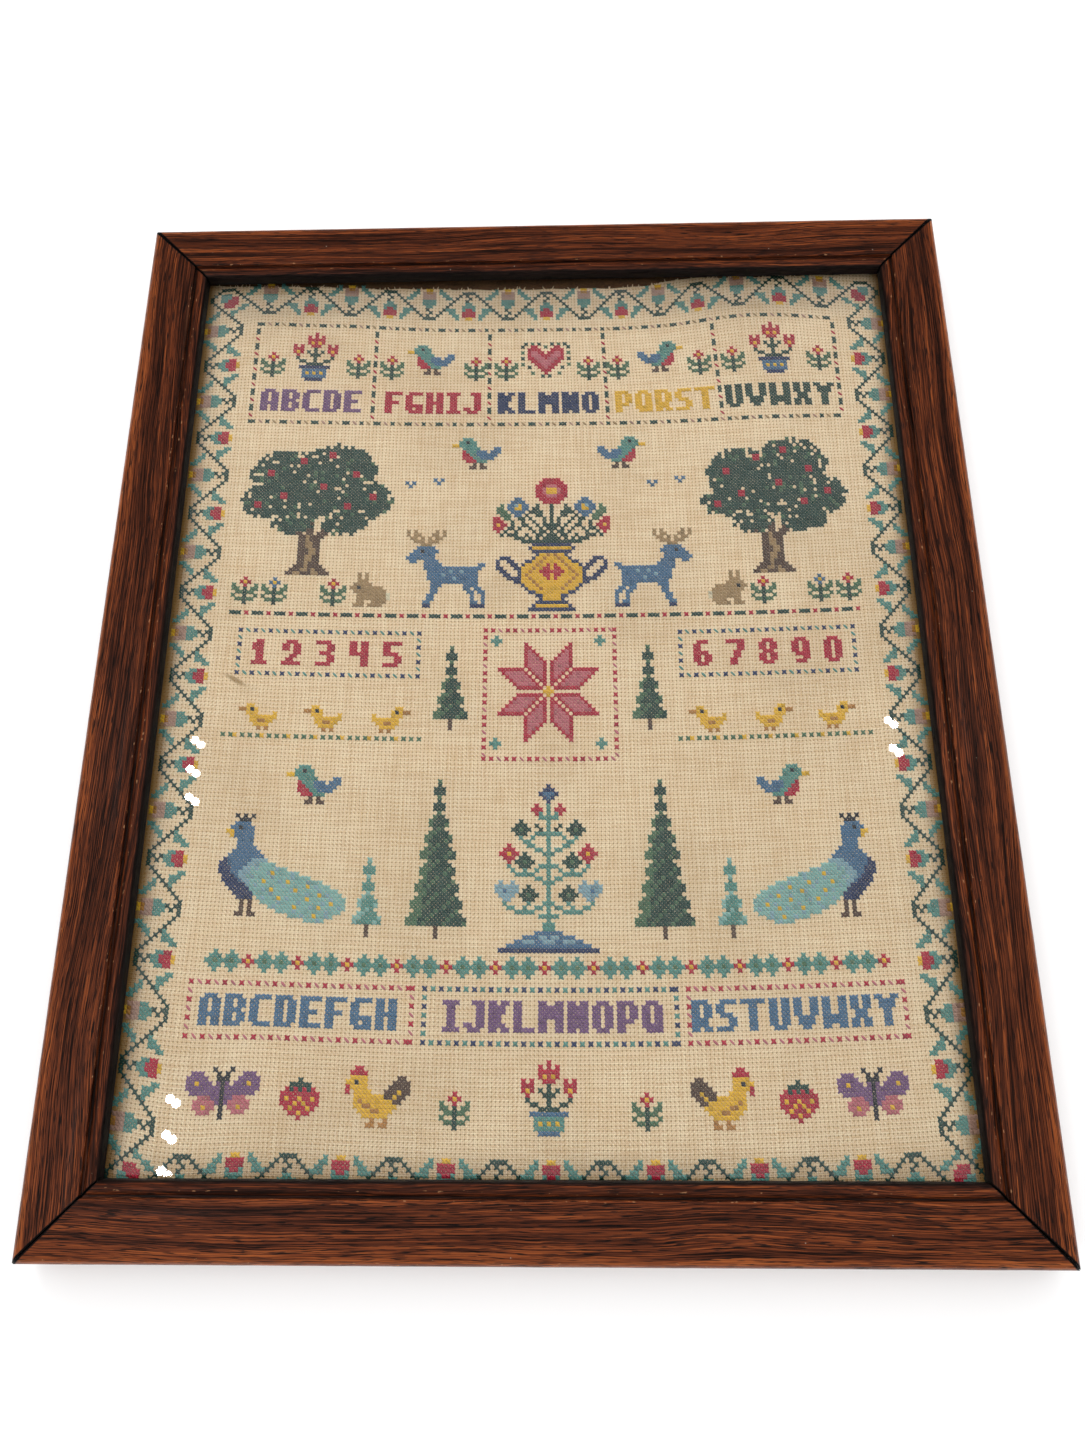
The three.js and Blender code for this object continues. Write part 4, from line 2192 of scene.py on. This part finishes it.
@dataclass
class Stitching:
    """The crosses as threads: each has an under leg and an over leg that lies across it."""

    lie: ClothLie
    strand: Strand
    seed: int = 1907
    inset: float = -0.07
    leg_width: float = 1.1
    leg_thickness: float = 0.31
    under_lift: float = 0.09
    over_lift: float = 0.29
    half_lift: float = 0.5
    sink: float = 0.09
    stray: float = 0.035
    width_spread: float = 0.07
    thickness_spread: float = 0.06
    lift_spread: float = 0.08
    cross_shade: tuple = (0.5, 0.17)
    leg_shade_spread: float = 0.05
    under_leg_shade: float = 0.06

    def build(self, work: Work, prefix: str, chance: np.random.Generator) -> list[bpy.types.Object]:
        """Make one piece for each thread that the work uses.

        Args:
            work: The crosses.
            prefix: What the names of the pieces start with.
            chance: The source of the small differences between crosses.

        Returns:
            The pieces.
        """
        pieces = []
        for floss in Floss:
            cells = sorted(
                (row, column, half)
                for (column, row), (thread, half) in work.crosses.items()
                if thread is floss
            )
            if cells:
                pieces.append(self.stitch(f"{prefix}_{floss.word}", floss, cells, chance))
        return pieces

    def stitch(
        self, name: str, floss: Floss, cells: list, chance: np.random.Generator
    ) -> bpy.types.Object:
        """Stitch all the crosses of one thread.

        Args:
            name: The piece's name.
            floss: The thread.
            cells: Row, column and whether it is a half cross, for each.
            chance: The source of the small differences between crosses.

        Returns:
            The piece.
        """
        row, column, half = (np.array(part, dtype=float) for part in zip(*cells))
        count = len(row)
        wander = chance.normal(0.0, self.stray, (8, count))
        shade = np.clip(chance.normal(*self.cross_shade, count), 0.0, 1.0)
        near, far = self.inset, 1 - self.inset
        over = self.leg(column, row, (near, near), (far, far), wander[:4])
        whole = half < 0.5
        under = self.leg(column[whole], row[whole], (near, far), (far, near), wander[4:][:, whole])
        start = np.concatenate((under[0], over[0]))
        end = np.concatenate((under[1], over[1]))
        low = len(under[0])
        total = len(start)
        width = self.leg_width * (1 + chance.normal(0.0, self.width_spread, total))
        thick = self.leg_thickness * (1 + chance.normal(0.0, self.thickness_spread, total))
        lift = np.where(np.arange(total) < low, self.under_lift, self.over_lift)
        lift = lift * (1 + chance.normal(0.0, self.lift_spread, total))
        lift[low:][~whole] *= self.half_lift
        # Painted shade: the under legs are darker, as if shaded by the over legs.
        shades = np.concatenate((shade[whole] - self.under_leg_shade, shade))
        shades = np.clip(shades + chance.normal(0.0, self.leg_shade_spread, total), 0.0, 1.0)
        legs = Legs(self.strand, self.lie)
        piece = legs.lay(name, start, end, width, thick, lift, self.sink, shades)
        wear_finish(piece, self.material(floss))
        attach(piece, BODY)
        return piece

    def leg(
        self,
        column: np.ndarray,
        row: np.ndarray,
        start: tuple[float, float],
        end: tuple[float, float],
        wander: np.ndarray,
    ) -> tuple[np.ndarray, np.ndarray]:
        """Find where a leg of each cross starts and ends.

        Args:
            column: The crosses' columns.
            row: Their rows.
            start: The leg's start within its cross, across and down.
            end: Its end.
            wander: How far each end strays, four numbers for each cross.

        Returns:
            The starts and the ends, in millimetres.
        """
        first = self.lie.place(column + start[0] + wander[0], row + start[1] + wander[1])
        last = self.lie.place(column + end[0] + wander[2], row + end[1] + wander[3])
        return np.column_stack(first), np.column_stack(last)

    def material(self, floss: Floss) -> bpy.types.Material:
        """Give a thread's material, and build it the first time."""
        name = f"floss_{floss.word}"
        return bpy.data.materials.get(name) or FlossFinish(name, floss.shade).material()


@dataclass
class FrayedEdge:
    """Loose ends of linen thread along the cloth's cut top edge."""

    lie: ClothLie
    strand: Strand
    count: int = 150
    seed: int = 77
    half_span: float = 183.0
    lean: float = 0.9
    reach: tuple = (0.5, 2.1)
    most_rise: float = 4.2
    rooted: float = 1.2
    widths: tuple = (0.35, 0.6)
    thickness: float = 0.3
    lift: float = 0.12
    shades: tuple = (0.3, 0.8)
    sink: float = 0.3

    def build(self) -> bpy.types.Object:
        """Make and dress the loose ends."""
        chance = np.random.default_rng(self.seed)
        x = np.sort(chance.uniform(-self.half_span, self.half_span, self.count))
        lean = chance.normal(0.0, self.lean, self.count)
        reach = chance.uniform(*self.reach, self.count)
        top = self.lie.top_at(x)
        highest = self.lie.opening_top + self.most_rise
        start = np.column_stack((x, top - self.rooted))
        end = np.column_stack((x + lean, np.minimum(top + reach, highest)))
        width = chance.uniform(*self.widths, self.count)
        thick = np.full(self.count, self.thickness)
        lift = np.full(self.count, self.lift)
        shade = chance.uniform(*self.shades, self.count)
        legs = Legs(self.strand, self.lie)
        piece = legs.lay("frayed_ends", start, end, width, thick, lift, self.sink, shade)
        wear_finish(piece, FlossFinish("loose_linen", LinenFinish.thread).material())
        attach(piece, BODY)
        return piece


@dataclass
class Slab:
    """Something flat that is cut to the rabbet."""

    back: float
    front: float
    edge: float
    half_width: float = 190.7
    half_height: float = 234.2

    def cut(self, name: str, segments: int) -> bpy.types.Object:
        """Make it under a name, with its edges bevelled in some segments."""
        low = (-self.half_width, -self.half_height, self.back)
        piece = Bench.block(name, low, (self.half_width, self.half_height, self.front))
        Bench.finish_with(
            piece, "BEVEL", width=self.edge * MM, segments=segments, limit_method="ANGLE"
        )
        return piece


@dataclass
class Glazing(Slab):
    """The pane of glass, with its edges just broken."""

    back: float = 11.8
    front: float = 13.8
    edge: float = 0.25

    def build(self) -> bpy.types.Object:
        pane = self.cut("clear_pane", 1)
        wear_finish(pane, GlassFinish().material())
        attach(pane, BODY)
        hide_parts("glass_pane")
        return pane


@dataclass
class Backing(Slab):
    """The pressed board behind the linen."""

    back: float = 5.4
    front: float = 8.9
    edge: float = 0.6
    steps: tuple = (42.0, 52.0)
    steps_each_way: int = 4
    smooth_angle: float = 35.0

    def build(self) -> bpy.types.Object:
        board = self.cut("pressed_board", 3)
        with Bench.editing(board):
            for share in range(-self.steps_each_way, self.steps_each_way + 1):
                Bench.saw((share * self.steps[0], 0.0, 0.0), (1.0, 0.0, 0.0))
                Bench.saw((0.0, share * self.steps[1], 0.0), (0.0, 1.0, 0.0))
        Bench.smooth(board, self.smooth_angle)
        wear_finish(board, BoardFinish().material())
        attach(board, BODY)
        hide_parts("backing_board")
        return board


@dataclass
class Studio:
    """The pale floor, the soft lights, the small lamps that show in the glass, and the camera."""

    eye: tuple = (11.26, -160.0, 456.07)
    right: tuple = (0.99974, 0.00024, -0.02284)
    down: tuple = (-0.00627, -0.95873, -0.28426)
    forward: tuple = (-0.02197, 0.28433, -0.95847)
    focal_px: float = 960.0
    picture_px: tuple = (1086, 1448)
    sensor: float = 36.0
    clip: tuple = (0.02, 30.0)
    floor_size: float = 8.0
    floor_colour: str = "#fbfbfb"
    panel_place: tuple = (-500.0, 3600.0, 1500.0)
    panel_size: tuple = (3000.0, 1000.0)
    panel_watts: float = 60.0
    glass_front: float = 13.8
    room: float = 1.16
    room_in_gloss: float = 0.06
    lamp_height: float = 1400.0
    lamp_radius: float = 8.0
    lamp_watts: float = 0.16
    lamp_beside: tuple = (6.0, 4.5)
    lamp_spots: tuple = (
        (195, 740), (190, 769), (189, 797),
        (170, 1099), (166, 1135), (161, 1171),
        (888, 720), (893, 748),
    )

    def build(self) -> None:
        """Set up the floor, the light and the camera."""
        self.set_camera()
        self.lay_floor()
        self.set_sky()
        self.hang_panel()
        for index, (across, down) in enumerate(self.lamp_spots):
            beside = (across + self.lamp_beside[0], down + self.lamp_beside[1])
            self.hang_lamp(f"small_lamp_{index}", (across, down))
            self.hang_lamp(f"small_lamp_{index}_beside", beside)

    def set_camera(self) -> None:
        """Put the camera where the photograph was taken from."""
        data = bpy.data.cameras.new("studio_camera")
        data.sensor_fit = "VERTICAL"
        data.sensor_height = self.sensor
        data.lens = self.focal_px * self.sensor / self.picture_px[1]
        data.clip_start, data.clip_end = self.clip
        camera = Bench.bring_in("studio_camera", data)
        turn = Matrix((self.right, [-c for c in self.down], [-c for c in self.forward])).transposed()
        camera.matrix_world = Matrix.Translation(Vector(self.eye) * MM) @ turn.to_4x4()
        bpy.context.scene.camera = camera

    def lay_floor(self) -> None:
        """Lay a wide plain floor under the frame."""
        Bench.clear()
        bpy.ops.mesh.primitive_plane_add(size=self.floor_size, location=(0.0, 0.0, 0.0))
        floor = bpy.context.active_object
        floor.name = "pale_floor"
        material, wiring, shader = new_material("pale_floor")
        colour = tint(self.floor_colour)
        wiring.fill(shader, {"Base Color": colour, "Roughness": 0.9, "Specular IOR Level": 0.1})
        wear_finish(floor, material)

    def set_sky(self) -> None:
        """Surround the scene with an even white light that shines little in polished things."""
        world = bpy.data.worlds.new("white_room")
        world.use_nodes = True
        wiring = Wiring(world.node_tree)
        glossy = wiring.out("LightPath", {}, "Is Glossy Ray")
        passing = wiring.out("LightPath", {}, "Is Transmission Ray")
        gloss = wiring.math("GREATER_THAN", glossy, passing)
        strength = gloss * (self.room_in_gloss - self.room) + self.room
        background = world.node_tree.nodes["Background"]
        wiring.fill(background, {"Color": (1.0, 1.0, 1.0, 1.0), "Strength": strength})
        bpy.context.scene.world = world
        bpy.context.scene.view_settings.view_transform = "Standard"

    def hang_panel(self) -> None:
        """Hang a soft light that looks at the frame's middle and isn't mirrored in its polish."""
        data = bpy.data.lights.new("far_panel", "AREA")
        data.shape = "RECTANGLE"
        data.size = self.panel_size[0] * MM
        data.size_y = self.panel_size[1] * MM
        data.energy = self.panel_watts
        lamp = Bench.bring_in("far_panel", data)
        lamp.location = Vector(self.panel_place) * MM
        lamp.rotation_euler = (-lamp.location).to_track_quat("-Z", "Y").to_euler()
        lamp.visible_glossy = False

    def hang_lamp(self, name: str, spot: tuple[float, float]) -> None:
        """Hang a small bright lamp whose reflection shows at one spot of the picture.

        Args:
            name: Its name.
            spot: The spot, in pixels of the photograph.
        """
        across = (spot[0] - self.picture_px[0] / 2) / self.focal_px
        below = (spot[1] - self.picture_px[1] / 2) / self.focal_px
        eye = Vector(self.eye)
        ray = Vector(self.forward) + across * Vector(self.right) + below * Vector(self.down)
        on_glass = eye + ray * ((self.glass_front - eye.z) / ray.z)
        climb = self.lamp_height / (eye.z - self.glass_front)
        place = on_glass + (on_glass - eye) * climb
        place.z = self.glass_front + self.lamp_height
        data = bpy.data.lights.new(name, "POINT")
        data.shadow_soft_size = self.lamp_radius * MM
        data.energy = self.lamp_watts
        Bench.bring_in(name, data).location = place * MM


def main() -> None:
    """Build the sampler in order and report each piece."""
    logging.basicConfig(level=logging.INFO, format="%(name)s: %(message)s")
    Studio().build()
    lie = ClothLie()
    pieces = OakFrame().build()
    pieces.append(Backing().build())
    linen = Linen(lie)
    sheet = linen.build()
    pieces.append(sheet)
    strand = Strand()
    stitching = Stitching(lie, strand)
    chance = np.random.default_rng(stitching.seed)
    border, picture = Work(), Work()
    Border(lie).work(border)
    Picture().work(picture)
    threads = stitching.build(border, "border", chance)
    threads += stitching.build(picture, "picture", chance)
    threads.append(FrayedEdge(lie, strand).build())
    pieces += threads
    pieces.append(Glazing().build())
    LOG.info("crosses: %d in the border, %d in the picture", len(border.crosses), len(picture.crosses))
    for piece in pieces:
        piece.data.calc_loop_triangles()
        LOG.info("%s: %d triangles", piece.name, len(piece.data.loop_triangles))


if __name__ == "__main__":
    main()
